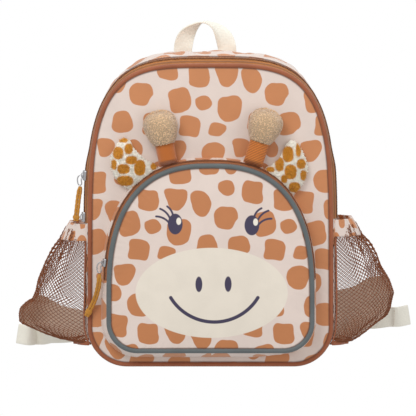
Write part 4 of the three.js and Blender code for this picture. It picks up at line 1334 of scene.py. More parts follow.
@dataclass
class Fastener:
    """A closed coil zip along the upper stretch of an outline."""

    seam: SeamLine
    offset_of: Callable[[Array, Array], Array]
    front_y: float
    width: float
    ends: tuple[float, float]
    coil_width: float
    coil_height: float
    pitch: float
    tape_step: float = 0.9
    tape_rows: int = 28
    tape_reach: tuple[float, float] = (-0.2, 1.02)
    tape_slope: float = 4.0
    rib_pitch: float = 1.3
    rib_height: float = 0.12
    coil_seat: float = 0.35
    slack: float = 0.16
    shade: float = 0.7
    coil_slant: float = 0.16

    @property
    def middle_y(self) -> float:
        """Depth of the coil's middle."""
        return self.front_y + self.width / 2

    def tape(self) -> MeshData:
        """The ribbed tape.

        Returns:
            The tape, whose front edge reaches down under the piping.
        """
        count = int((self.ends[1] - self.ends[0]) / self.tape_step)
        runs = np.linspace(*self.ends, count)
        points, normals = self.seam.at(runs)
        across = np.linspace(*self.tape_reach, self.tape_rows)[:, None]
        depth = self.front_y + self.width * across
        offset = self.offset_of(points, depth) - SIZES.seam_gap / 2 - self.tape_slope * (-across).clip(0)
        middle = np.exp(-((across - 0.5) * self.width / (self.coil_width * 0.62)) ** 6)
        ribs = np.sin(across * self.width * TURN / self.rib_pitch)
        offset = offset + self.rib_height * ribs + self.coil_seat * middle
        offset = offset + self.slack * ripple(runs[None] * TURN / 14 + across * 3, runs[None] * TURN / 8.2)
        mesh = flipped(grid(raised(points, normals, offset, depth)))
        # Painted shade along both edges of the tape.
        edges = np.exp(-((across - 0.04) / 0.1) ** 2) + np.exp(-((across - 1.0) / 0.09) ** 2)
        mesh.values["shade"] = np.broadcast_to(self.shade * edges.clip(0, 1), offset.shape).ravel()
        return mesh

    def coil(self) -> MeshData:
        """The two rows of interlocked coil turns.

        Returns:
            The turns.
        """
        runs = np.arange(self.ends[0] + 1, self.ends[1] - 1, self.pitch)
        rows = []
        for side in (-1, 1):
            points, normals = self.seam.at(runs + side * self.pitch / 4)
            depth = np.full((1, len(runs)), self.middle_y + side * self.coil_width * 0.22)
            offset = self.offset_of(points, depth) + self.coil_height * 0.42
            centres = raised(points, normals, offset, depth)[0]
            out = np.column_stack([normals[:, 0], np.zeros(len(runs)), normals[:, 1]])
            along = np.column_stack([-normals[:, 1], np.zeros(len(runs)), normals[:, 0]])
            across = np.tile([0.0, 1.0, 0.0], (len(runs), 1)) + along * self.coil_slant * side
            rows.append(scatter(bead(6, 4), centres, along * self.pitch * 0.29, out * self.coil_height * 0.66,
                                across * self.coil_width * 0.32))
        return joined(rows)


def cloth_pieces() -> Finishes:
    """All the bag's finishes.

    Returns:
        The materials by their names.
    """
    brown, patch = srgb(156, 86, 50), srgb(198, 130, 82)
    finishes = (
        PrintedFinish("printed_fabric", patch, roughness=0.5, relief=0.06, mottle=0.05),
        FaceFinish("printed_face", srgb(190, 122, 74), roughness=0.5, relief=0.06, mottle=0.05),
        ClothFinish("brown_piping", brown, roughness=0.6),
        ClothFinish("grey_piping", srgb(94, 101, 102), roughness=0.6),
        ClothFinish("mustard_zip_tape", srgb(178, 110, 44), roughness=0.8),
        ClothFinish("brown_zip_tape", srgb(156, 92, 48), roughness=0.8),
        HardFinish("brown_zip_coil", srgb(112, 64, 34), roughness=0.42),
        HardFinish("slider_steel", srgb(188, 188, 190), roughness=0.24, metal=1.0),
        ClothFinish("mustard_cord", srgb(196, 134, 42), roughness=0.7, thread=0.8, relief=0.3),
        PileFinish("velvet_orange", srgb(186, 102, 34), sheen=0.4, grain=0.9, relief=0.8),
        PileFinish("ribbed_orange", srgb(216, 128, 56), sheen=0.2, grain=0.6, hollow_shade=0.3),
        PileFinish("cream_terry", srgb(250, 212, 168), hollow_shade=0.5),
        PileFinish("spotted_plush", srgb(255, 249, 236), srgb(218, 148, 38), sheen=0.4, hollow_shade=0.92),
        HardFinish("brown_net", srgb(134, 76, 42), roughness=0.7),
        ClothFinish("ivory_webbing", srgb(243, 239, 226), roughness=0.7, thread=0.9, relief=0.25,
                    mottle=0.05),
        PrintedFinish("strap_fabric", patch, roughness=0.55, relief=0.08, mottle=0.06),
        HardFinish("ivory_plastic", srgb(232, 226, 212), roughness=0.35),
        ClothFinish("strap_lining", srgb(232, 216, 200), roughness=0.8, mottle=0.05),
        ClothFinish("seam_thread", srgb(226, 210, 190), roughness=0.6, mottle=0.0),
    )
    return {finish.name: finish.material() for finish in finishes}


@dataclass
class MainBody:
    """Front and back panels, the gusset, both rows of piping and the main zip."""

    finishes: Finishes
    sizes: BagSizes = SIZES
    zip_ends: tuple[float, float] = (143.7, 148.2)
    hem_rise: float = 0.9
    hem_tuck: float = 1.7
    fold: float = 0.5
    folds: Waves = Waves((8.3, 12.7, 5.1), (0.0, 2.0, 0.0))
    crease_run: float = 31.0
    crease_depth: float = 1.5
    stitch_inset: float = 2.6

    def __post_init__(self) -> None:
        """Prepares the outline and the zip."""
        self.seam = SeamLine(self.sizes.outline)
        front = self.sizes.front_y + self.sizes.piping / 2 + self.sizes.seam_gap
        ends = (self.seam.run_at(Side.LEFT, self.zip_ends[0]), self.seam.run_at(Side.RIGHT, self.zip_ends[1]))
        self.zip = Fastener(self.seam, self.side_offset, front, self.sizes.zip_width, ends,
                            coil_width=4.2, coil_height=1.2, pitch=1.5)

    def side_offset(self, points: Array, y: Array) -> Array:
        """How far the gusset stands out at some outline points and depths."""
        return self.sizes.gusset_offset(points[None, :, 1], y)

    def zipped(self, runs: Array) -> Array:
        """1 where the zip runs and 0 elsewhere, as one row."""
        begun = smooth(runs, self.zip.ends[0] - 1, self.zip.ends[0] + 1)
        return (begun * (1 - smooth(runs, self.zip.ends[1] - 1, self.zip.ends[1] + 1)))[None]

    def gusset_skin(self, points: Array, depth: Array, runs: Array) -> Array:
        """How far the gusset's cloth stands out, with its folds and the hem beside the zip.

        Args:
            points: outline points.
            depth: depths, one a row.
            runs: the points' lengths from the top.

        Returns:
            The offsets, rows by points.
        """
        offset = self.sizes.gusset_offset(points[None, :, 1], depth)
        edge = self.zip.front_y + self.zip.width
        zipped = self.zipped(runs)
        hem = self.hem_rise * np.exp(-((depth - edge - 1.2) / 1.4) ** 2)
        hem = hem - self.hem_tuck * (1 - smooth(depth, edge - 0.3, edge + 0.2))
        lift = smooth(points[:, 1], 5, 45)[None]
        near_seam = np.exp(-(self.sizes.back_y - np.abs(depth)) / 6)
        folds = near_seam * self.fold * self.folds.at(runs)[None]
        top = smooth(points[:, 1], 240, 296)[None]
        slant = ripple((runs[None] + depth * 0.7) * TURN / 37, (runs[None] - depth * 0.9) * TURN / 26 + 1.1,
                       (runs[None] + depth * 0.3) * TURN / 61 + 0.5)
        crease_and_seam_shade = -self.crease_depth * np.exp(-((runs[None] - self.crease_run - depth * 0.42) / 4.2) ** 2)
        crease_and_seam_shade = crease_and_seam_shade * smooth(depth, -30, -10)
        loose = 1 - zipped * (1 - smooth(depth, edge + 1, edge + 8))
        return offset + zipped * hem + loose * (lift * (folds + (0.5 + 0.9 * top) * slant) + top * crease_and_seam_shade)

    def gusset(self) -> None:
        """The cloth band round the bag."""
        runs = self.seam.ring(640)
        points, normals = self.seam.at(runs)
        edge = self.zip.front_y + self.zip.width
        hem = edge + np.array([-0.25, 0.0, 0.25, 0.7, 1.3, 2.0, 2.9, 4.0])
        depth = np.concatenate([np.linspace(self.sizes.front_y, edge - 0.5, 6), hem,
                                np.linspace(edge + 5.5, self.sizes.back_y, 34)])[:, None]
        offset = self.gusset_skin(points, depth, runs)
        places = raised(points, normals, offset, depth)
        places[..., 2] = np.maximum(places[..., 2], 0.0)
        mesh = flipped(grid(places, wrap_columns=True))
        printed(mesh, GUSSET_REPEAT_CORNER, runs[None], depth)
        # Painted shade along the zip's edge and along the back piping.
        front = np.exp(-((depth - edge - 0.2) / 1.0) ** 2) * self.zipped(runs)
        shade = front + np.exp(-((self.sizes.back_y - self.sizes.piping / 2 - depth) / 1.2) ** 2)
        mesh.values["shade"] = np.broadcast_to(0.8 * shade.clip(0, 1), offset.shape).ravel()
        make_piece("gusset_cloth", mesh, self.finishes["printed_fabric"], ("gusset",))

    def panels(self) -> None:
        """The front sheet and the padded back."""
        sizes = self.sizes
        inset = sizes.piping - UNDER_PIPING
        front = CrownedPanel(sizes.outline, inset, sizes.body_height / 2, rays=460, rings=60)
        mesh = front.mesh(lambda x, z, _: front_face_y(x, z), -1)
        printed(mesh, BODY_REPEAT_CORNER, mesh.points[:, 0], mesh.points[:, 2])
        make_piece("front_panel_cloth", mesh, self.finishes["printed_fabric"],
                   ("front_panel",))
        back = CrownedPanel(sizes.outline, inset, sizes.body_height / 2, rays=400, rings=60, pucker=0.7)

        def padded_depth(x: Array, z: Array, share: Array) -> Array:
            """Back face with one quilted line round the pad."""
            face = sizes.back_y + 1 + 5 * np.sqrt(np.clip(1 - share**4, 0, 1)) + 4 * (1 - share**2)
            return face - 2.4 * np.exp(-((share - 0.8) * 135 / 3.2) ** 2)

        mesh = back.mesh(padded_depth, 1)
        printed(mesh, BACK_REPEAT_CORNER, mesh.points[:, 0], mesh.points[:, 2])
        pad = make_piece("back_panel_pad", mesh, self.finishes["printed_fabric"],
                         ("back_panel",))

    def edges(self) -> None:
        """Both rows of piping."""
        for name, depth in (("front_piping", self.sizes.front_y), ("back_piping", self.sizes.back_y)):
            mesh = Piping(self.sizes.outline, self.sizes.piping, depth).mesh()
            make_piece(f"{name}_cord", mesh, self.finishes["brown_piping"], (name,))

    def zip_parts(self) -> None:
        """The zip's tape and coil, and the stitches beside it."""
        make_piece("main_zip_tape_cloth", self.zip.tape(), self.finishes["mustard_zip_tape"],
                   ("main_zip_tape",))
        make_piece("main_zip_coil_turns", self.zip.coil(), self.finishes["brown_zip_coil"],
                   ("main_zip_coil",))
        runs = np.linspace(self.zip.ends[0] + 2, self.zip.ends[1] - 2, 700)
        points, normals = self.seam.at(runs)
        depth = np.full((1, len(runs)), self.zip.front_y + self.zip.width + self.stitch_inset)
        line = raised(points, normals, self.gusset_skin(points, depth, runs), depth)[0]
        out = np.column_stack([normals[:, 0], np.zeros(len(runs)), normals[:, 1]])
        make_piece("gusset_stitches", stitches(line, out), self.finishes["seam_thread"])

    def build(self) -> None:
        """Builds the body."""
        self.panels()
        self.gusset()
        self.edges()
        self.zip_parts()


@dataclass
class FrontPocket:
    """The arched front pocket with the face, its piping, side band and zip."""

    finishes: Finishes
    sizes: BagSizes = SIZES
    close_in: float = 0.7
    fold: float = 0.35
    folds: Waves = Waves((9.7, 17.0, 6.3), (0.0, 1.0, 0.0))
    tuck: float = 1.3

    def __post_init__(self) -> None:
        """Prepares the outline and the zip."""
        sizes = self.sizes
        self.seam = SeamLine(sizes.pocket_outline)
        front = sizes.pocket_front_y + sizes.pocket_piping / 2 + sizes.seam_gap
        ends = tuple(self.seam.run_at(side, sizes.pocket_zip_end) for side in Side)
        self.zip = Fastener(self.seam, self.side_offset, front, sizes.pocket_zip_width, ends,
                            coil_width=3.4, coil_height=1.0, pitch=1.35)

    def side_offset(self, points: Array, y: Array) -> Array:
        """How far the pocket's side band stands out; on the lower right it lies close in.

        Args:
            points: outline points.
            y: depths.

        Returns:
            The offsets, rows by points.
        """
        x, z = points[None, :, 0], points[None, :, 1]
        edge = self.sizes.pocket_front_y + self.sizes.pocket_piping / 2 + self.sizes.seam_gap
        share = np.clip((y - edge) / (self.sizes.front_y - edge), 0, 1)
        close = self.close_in * smooth(x, 40, 85) * (1 - smooth(z, 165, 190))
        return self.sizes.pocket_flare * (1 - (1 - share) ** 2) * (1 - close)

    def face(self) -> None:
        """The printed front with the face."""
        sizes = self.sizes
        centre_z = sizes.pocket_base + sizes.pocket_height * 0.45
        panel = CrownedPanel(sizes.pocket_outline, sizes.pocket_piping - UNDER_PIPING, centre_z,
                             rays=440, rings=66, pucker=0.45)
        mesh = panel.mesh(lambda x, z, s: sizes.pocket_front_y - 1 - sizes.pocket_crown * (1 - s**2), -1)
        printed(mesh, POCKET_REPEAT_CORNER, mesh.points[:, 0], mesh.points[:, 2])
        make_piece("pocket_face", mesh, self.finishes["printed_face"], ("pocket_front",))

    def band(self) -> None:
        """The side band from the piping back to the front panel."""
        runs = self.seam.ring(640)
        points, normals = self.seam.at(runs)
        share = np.linspace(0, 1, 22)[:, None]
        foot = points + normals * self.side_offset(points, np.array([[self.sizes.front_y]])).T
        foot_y = front_face_y(foot[:, 0], foot[:, 1]) + 0.8
        depth = self.sizes.pocket_front_y + (foot_y[None] - self.sizes.pocket_front_y) * share
        folds = self.fold * np.sin(share * math.pi) * self.folds.at(runs)[None]
        zipped = smooth(points[:, 1], self.sizes.pocket_zip_end - 1, self.sizes.pocket_zip_end + 1)[None]
        edge = self.zip.front_y + self.zip.width
        under = self.tuck * zipped * (1 - smooth(depth, edge - 0.4, edge + 0.4))
        offset = self.side_offset(points, depth) + folds - under
        mesh = flipped(grid(raised(points, normals, offset, depth), wrap_columns=True))
        printed(mesh, BAND_REPEAT_CORNER, runs[None], depth)
        make_piece("pocket_band", mesh, self.finishes["printed_fabric"], ("pocket_gusset",))

    def build(self) -> None:
        """Builds the pocket."""
        self.face()
        self.band()
        mesh = Piping(self.sizes.pocket_outline, self.sizes.pocket_piping, self.sizes.pocket_front_y).mesh()
        make_piece("pocket_piping_cord", mesh, self.finishes["grey_piping"],
                   ("pocket_piping",))
        make_piece("pocket_zip_tape_cloth", self.zip.tape(), self.finishes["brown_zip_tape"],
                   ("pocket_zip_tape",))
        make_piece("pocket_zip_coil_turns", self.zip.coil(), self.finishes["brown_zip_coil"],
                   ("pocket_zip_coil",))


class GussetReach:
    """How far out the side of the gusset lies at a depth and a height."""

    def __init__(self, sizes: BagSizes) -> None:
        """Tabulates the reach over depth and height.

        Args:
            sizes: the bag's sizes.
        """
        half = sizes.outline.half()
        ahead = np.gradient(half, axis=0)
        normals = unit(np.column_stack([ahead[:, 1], -ahead[:, 0]]))
        self.depths = np.linspace(0, sizes.body_depth / 2, 31)
        self.heights = np.linspace(2, 250, 249)
        rows = []
        for depth in self.depths:
            face = half + normals * sizes.gusset_offset(half[:, 1], np.array(depth))[:, None]
            order = np.argsort(face[:, 1])
            rows.append(np.interp(self.heights, face[order, 1], face[order, 0]))
        self.table = np.array(rows)

    def at(self, y: Array, z: Array) -> Array:
        """The reach at some places.

        Args:
            y: their depths.
            z: their heights.

        Returns:
            The reaches.
        """
        row = np.clip(np.abs(y) / self.depths[1], 0, len(self.depths) - 1.001)
        column = np.clip((z - self.heights[0]) / (self.heights[1] - self.heights[0]), 0,
                         len(self.heights) - 1.001)
        i, j = row.astype(int), column.astype(int)
        u, v = row - i, column - j
        table = self.table
        return ((1 - u) * ((1 - v) * table[i, j] + v * table[i, j + 1])
                + u * ((1 - v) * table[i + 1, j] + v * table[i + 1, j + 1]))


GUSSET_REACH = GussetReach(SIZES)


@dataclass
class NetPocket:
    """A net side pocket with its lining, binding and gathered hem.

    The lining's two numbers are its height at the net's middle and at the back seam, as shares
    of the net's height. The profile's rows are a share of that height and one of the reach.
    """

    side: Side
    hem_top: float
    lining: tuple[float, float]
    profile: tuple[tuple[float, float], ...]
    finishes: Finishes
    sizes: BagSizes = SIZES
    base: float = 22.0
    reach: float = 70.0
    wall: float = 1.6
    hem_height: float = 17.0
    hem_wall: float = 2.2
    hem_gather: float = 0.67
    hem_columns: int = 240
    hem_rows: int = 20
    cells_round: int = 37
    cells_up: int = 28
    strand: float = 0.7
    overlap: float = 12.0
    squareness: float = 0.84
    binding_width: float = 4.6
    binding_wall: float = 1.5
    binding_inset: float = 0.012
    lining_inset: float = 1.2
    lining_wall: float = 0.6

    @property
    def net_top(self) -> float:
        """Height of the net's upper edge."""
        return self.hem_top - self.hem_height - self.sizes.seam_gap

    def sack(self, turn: Array, z: Array, reach: Array, wall: float) -> Array:
        """Places on the sack's wall.

        Args:
            turn: share of the way round, from the front seam to the back one.
            z: heights.
            reach: how far the sack stands out from the body there.
            wall: how far the wall stands off the gusset.

        Returns:
            The places.
        """
        angle = (turn - 0.5) * math.pi
        across = np.sign(angle) * np.abs(np.sin(angle)) ** self.squareness
        swell = np.cos(angle).clip(0)
        y = across * (self.sizes.body_depth / 2 - self.sizes.piping / 2 - self.sizes.seam_gap)
        seat = GUSSET_REACH.at(y, z) + wall * swell
        peak = np.maximum(seat, self.sizes.body_width / 2 + reach)
        return np.stack([self.side.value * (seat + (peak - seat) * swell), y, z], axis=-1)

    def net_place(self, turn: Array, up: Array) -> Array:
        """Places on the net, with its pleats.

        Args:
            turn: share of the way round, from the front seam to the back one.
            up: share of the way from the base to the hem.

        Returns:
            The places.
        """
        heights, reaches = np.array(self.profile).T
        away = np.sin(turn * math.pi)
        height = self.net_top - self.base
        up = up * (1 + self.overlap / height * smooth(away, 0.3, 0.7))
        lap = (up - 1).clip(0) * height / self.hem_height
        reach = self.reach * np.interp(up, heights, reaches) * (1 - (1 - self.hem_gather) * lap) + 1.6 * lap
        top, low = smooth(up, 0.62, 1), 1 - smooth(up, 0.02, 0.4)
        pleats = (0.5 + 1.9 * top) * ripple(turn * TURN * 9 + up * 2, turn * TURN * 14.3 + 1)
        pleats = pleats + 2.4 * low * ripple(turn * TURN * 6 - up * 3, turn * TURN * 11 + 2)
        sag = 1.5 * ripple(turn * TURN * 2.2 + up * 9, turn * 7 - up * 15)
        z = self.base + height * up
        return self.sack(turn, z, reach + away * (pleats + sag * away), self.wall)

    def net_facing(self, turn: Array, up: Array, step: float = 1e-3) -> Array:
        """Which way the net faces at some places.

        Args:
            turn: share of the way round, from the front seam to the back one.
            up: share of the way from the base to the hem.
            step: how far apart the places are that it is read from, as a share.

        Returns:
            Unit directions out of the bag.
        """
        sideways = (self.net_place((turn + step).clip(0, 1), up)
                    - self.net_place((turn - step).clip(0, 1), up))
        upwards = (self.net_place(turn, (up + step).clip(0, 1))
                   - self.net_place(turn, (up - step).clip(0, 1)))
        return unit(np.cross(sideways, upwards) * self.side.value)

    def net(self) -> None:
        """The diamond net: two families of slanting strands."""
        meshes = []
        rows = np.arange(0, 2 * self.cells_up + 1)
        section = round_section(self.strand, self.strand * 0.8, 4)
        for slant in (-1, 1):
            for start in range(-self.cells_up - 1, self.cells_round + self.cells_up + 2):
                turn = (start + slant * (rows / 2 - self.cells_up / 2)) / self.cells_round
                inside = (turn >= -TINY) & (turn <= 1 + TINY)
                if inside.sum() < 3:
                    continue
                turn, up = turn[inside].clip(0, 1), rows[inside] / rows[-1]
                line = self.net_place(turn, up)
                out = self.net_facing(turn, up)
                weave = np.where(rows[inside] % 2 == 0, 1, -1)[:, None] * slant
                across = unit(np.cross(directions(line), out))
                meshes.append(sweep(line + out * weave * self.strand * 0.4, across, out, section))
        make_piece(f"net_{self.side.word}", joined(meshes), self.finishes["brown_net"],
                   (f"net_pocket_{self.side.word}",))

    def backing(self) -> None:
        """The cloth that lines the lower part of the net's rear half."""
        turn = np.linspace(0.5, 0.99, 60)[None]
        high, low = self.lining
        top = high + (low - high) * (2 * turn - 1) + 0.03 * np.sin((turn - 0.5) * TURN)
        up = np.linspace(0.02, 1, 24)[:, None] * top
        places = self.net_place(np.broadcast_to(turn, up.shape), up)
        places[..., 0] -= self.side.value * self.lining_inset
        places[..., 1] *= 0.95
        make_piece(f"net_backing_{self.side.word}", grid(places), self.finishes["strap_lining"],
                   thickness=self.lining_wall)

    def binding(self) -> None:
        """The brown tape that binds the net along its base and both seams."""
        seam, base = 39, 70
        down, inset = np.linspace(1, 0.0, seam + 1), self.binding_inset
        turn = np.concatenate([np.full(seam, inset), np.linspace(inset, 1 - inset, base),
                               np.full(seam, 1 - inset)])
        up = np.concatenate([down[:-1], np.full(base, inset), down[::-1][1:]])
        line = self.net_place(turn, up)
        line[:, 0] += self.side.value * 0.8
        out = np.column_stack([np.full(len(line), float(self.side.value)), np.zeros(len(line)),
                               np.zeros(len(line))])
        across, facing = frames(line, np.cross(out, directions(line)))
        section = strap_section(self.binding_width, self.binding_wall)
        make_piece(f"net_binding_{self.side.word}", sweep(line, across, facing, section),
                   self.finishes["brown_piping"])

    def hem(self) -> None:
        """The gathered hem of printed cloth round the mouth."""
        rows = self.hem_rows
        turn = np.linspace(0, 1, self.hem_columns)[None]
        lap = np.concatenate([np.linspace(0, 1, rows), np.linspace(1, 0, rows)])[:, None]
        inner = np.concatenate([np.zeros(rows), np.ones(rows)])[:, None]
        mouth = self.reach * self.profile[-1][1]
        away = np.sin(turn * math.pi)
        slow = 1.6 * np.sin(turn * TURN * 3.5) * away
        pinch = 0.35 + 0.65 * np.abs(np.cos(lap * math.pi * 1.5))
        gathers = ripple(turn * TURN * 19 + lap, turn * TURN * 31 + 2, turn * TURN * 12 + 1)
        gathers = 0.75 * away * pinch * gathers
        puff = 1.1 * np.sin(lap * math.pi) * (1 - 2 * inner) * away
        reach = mouth * (1 - (1 - self.hem_gather) * lap) + slow + gathers + puff - inner * self.hem_wall
        z = self.hem_top - self.hem_height * (1 - lap)
        z = z + 0.5 * away * ripple(turn * TURN * 13, turn * TURN * 22 + 1)
        places = self.sack(np.broadcast_to(turn, reach.shape), np.broadcast_to(z, reach.shape), reach,
                           self.hem_wall * 0.8)
        mesh = grid(places, wrap_rows=True)
        if self.side is Side.RIGHT:
            mesh = flipped(mesh)
        across = np.broadcast_to(turn * 190, reach.shape).ravel()
        printed(mesh, HEM_REPEAT_CORNER[self.side], across, mesh.points[:, 2])
        make_piece(f"net_hem_{self.side.word}_cloth", mesh, self.finishes["printed_fabric"],
                   (f"net_hem_{self.side.word}",))

    def build(self) -> None:
        """Builds the side pocket."""
        self.net()
        self.backing()
        self.binding()
        self.hem()


EAR_SEEDS = {Side.LEFT: 7, Side.RIGHT: 8}
TIP_SEEDS = {Side.LEFT: 21, Side.RIGHT: 22}


@dataclass
class Ear:
    """A padded plush ear with sewn-in spots, lying on the front panel.

    Its root and outline are shares: the root's of the pocket's half width and height, the
    outline's of the ear's width and height, outwards and upwards from the root.
    """

    side: Side
    root: tuple[float, float]
    outline: tuple[tuple[float, float], ...]
    spots: tuple[Oval, ...]
    finishes: Finishes
    sizes: BagSizes = SIZES
    width: float = 46.0
    height: float = 50.0
    padding: float = 9.0
    hem: float = 2.4
    rim_points: int = 120
    spot_power: float = 2.6
    spot_spread: float = 1.03
    tufts: int = 2300
    tuft_length: float = 2.1
    tuft_width: float = 0.62
    # Pile values of the skin and the tufts' roots, which darken them as painted shade.
    skin_shade: float = 0.25
    root_shade: float = 0.35

    def rim(self, steps: int) -> Array:
        """The ear's outline.

        Args:
            steps: how many points.

        Returns:
            Rows of x and z.
        """
        root_x = self.side.value * self.root[0] * (self.sizes.body_width / 2 - self.sizes.pocket_margin)
        root_z = self.sizes.pocket_base + self.root[1] * self.sizes.pocket_height
        marks = [(root_x + self.side.value * out * self.width, 0.0, root_z + up * self.height)
                 for out, up in self.outline]
        return route(marks, steps, closed=True)[:-1][:, [0, 2]]

    def surface(self, rim: Array, share: Array) -> Array:
        """Places on the ear's front.

        Args:
            rim: places on its rim, as rows of x and z.
            share: shares of the way from the ear's middle to the rim.

        Returns:
            The places.
        """
        middle = self.rim(24).mean(0)
        flat = middle + (rim - middle) * share[..., None]
        puff = self.hem + (self.padding - self.hem) * np.sqrt(np.clip(1 - share**2, 0, 1))
        y = front_face_y(flat[..., 0], flat[..., 1]) - 2 * self.sizes.seam_gap - puff
        return np.stack([flat[..., 0], y, flat[..., 1]], axis=-1)

    def spot_distance(self, points: Array) -> Array:
        """Signed distance to the nearest spot.

        Args:
            points: places on the ear.

        Returns:
            The distances, below zero inside.
        """
        nearest = np.full(len(points), FAR)
        for spot in self.spots:
            x, z = PHOTO.place(spot.column, spot.row)
            a, b = (points[:, 0] - x) / (spot.width / 2), (points[:, 2] - z) / (spot.height / 2)
            reach = (np.abs(a) ** self.spot_power + np.abs(b) ** self.spot_power) ** (1 / self.spot_power)
            nearest = np.minimum(nearest, (reach - self.spot_spread) * min(spot.width, spot.height) / 2)
        return nearest

    def skin(self, rim: Array) -> MeshData:
        """The ear's padded skin.

        Args:
            rim: its rim.

        Returns:
            The skin.
        """
        share = np.concatenate([np.linspace(0.02, 0.9, 20), np.linspace(0.93, 1, 6)])[:, None]
        front = self.surface(rim[None], np.broadcast_to(share, (len(share), len(rim))))
        back = front[::-4].copy()
        back[..., 1] = front_face_y(back[..., 0], back[..., 2]) - self.sizes.seam_gap
        first = np.arange(len(rim))
        skin = capped(grid(np.concatenate([front, back]), wrap_columns=True), first,
                      first + len(rim) * (len(front) + len(back) - 1))
        # Painted shade: the skin between the tufts is darker.
        skin.values["pile"] = np.full(len(skin.points), self.skin_shade)
        return skin

    def pile(self, rim: Array) -> tuple[MeshData, Array]:
        """The ear's tufts.

        Args:
            rim: its rim.

        Returns:
            The tufts, and where each is rooted.
        """
        rng = np.random.default_rng(EAR_SEEDS[self.side])
        pick = rng.integers(0, len(rim), self.tufts)
        blend = rng.random(self.tufts)[:, None]
        edge = rim[pick] * (1 - blend) + rim[(pick + 1) % len(rim)] * blend
        reach = np.sqrt(rng.random(self.tufts))
        roots = self.surface(edge, reach)
        middle = self.rim(24).mean(0)
        outward = unit(edge - middle)
        lean = 0.25 + 1.1 * reach**5
        up = np.column_stack([outward[:, 0] * lean, -np.ones(self.tufts), outward[:, 1] * lean])
        up = unit(up + rng.normal(0, 0.35, up.shape))
        side = unit(np.cross(up, rng.normal(0, 1, up.shape)))
        length = self.tuft_length * rng.uniform(0.7, 1.15, self.tufts)[:, None]
        cone = MeshData(np.array([[1, 0, 0], [-0.5, 0.87, 0], [-0.5, -0.87, 0], [0.25, 0.1, 1.0]]),
                        [np.array([[0, 1, 3], [1, 2, 3], [2, 0, 3]])])
        pile = scatter(cone, roots, side * self.tuft_width, np.cross(up, side) * self.tuft_width,
                       up * length)
        # Painted shade: each tuft is darker at its root than at its tip.
        pile.values["pile"] = np.tile([self.root_shade] * 3 + [1.0], self.tufts)
        return pile, roots

    def build(self) -> None:
        """Builds the ear: its padded skin and its pile."""
        rim = self.rim(self.rim_points)
        skin = self.skin(rim)
        pile, roots = self.pile(rim)
        mesh = skin.join(pile)
        tuft_spots = np.repeat(self.spot_distance(roots), len(pile.points) // len(roots))
        mesh.values["patch"] = np.concatenate([self.spot_distance(skin.points), tuft_spots])
        piece = make_piece(f"ear_{self.side.word}_plush", mesh, self.finishes["spotted_plush"],
                           (f"ear_{self.side.word}",))


class StemCloth(Enum):
    """The cloths of the horns' stems, by the names of their finishes."""

    VELVET = "velvet_orange"
    RIBBED = "ribbed_orange"


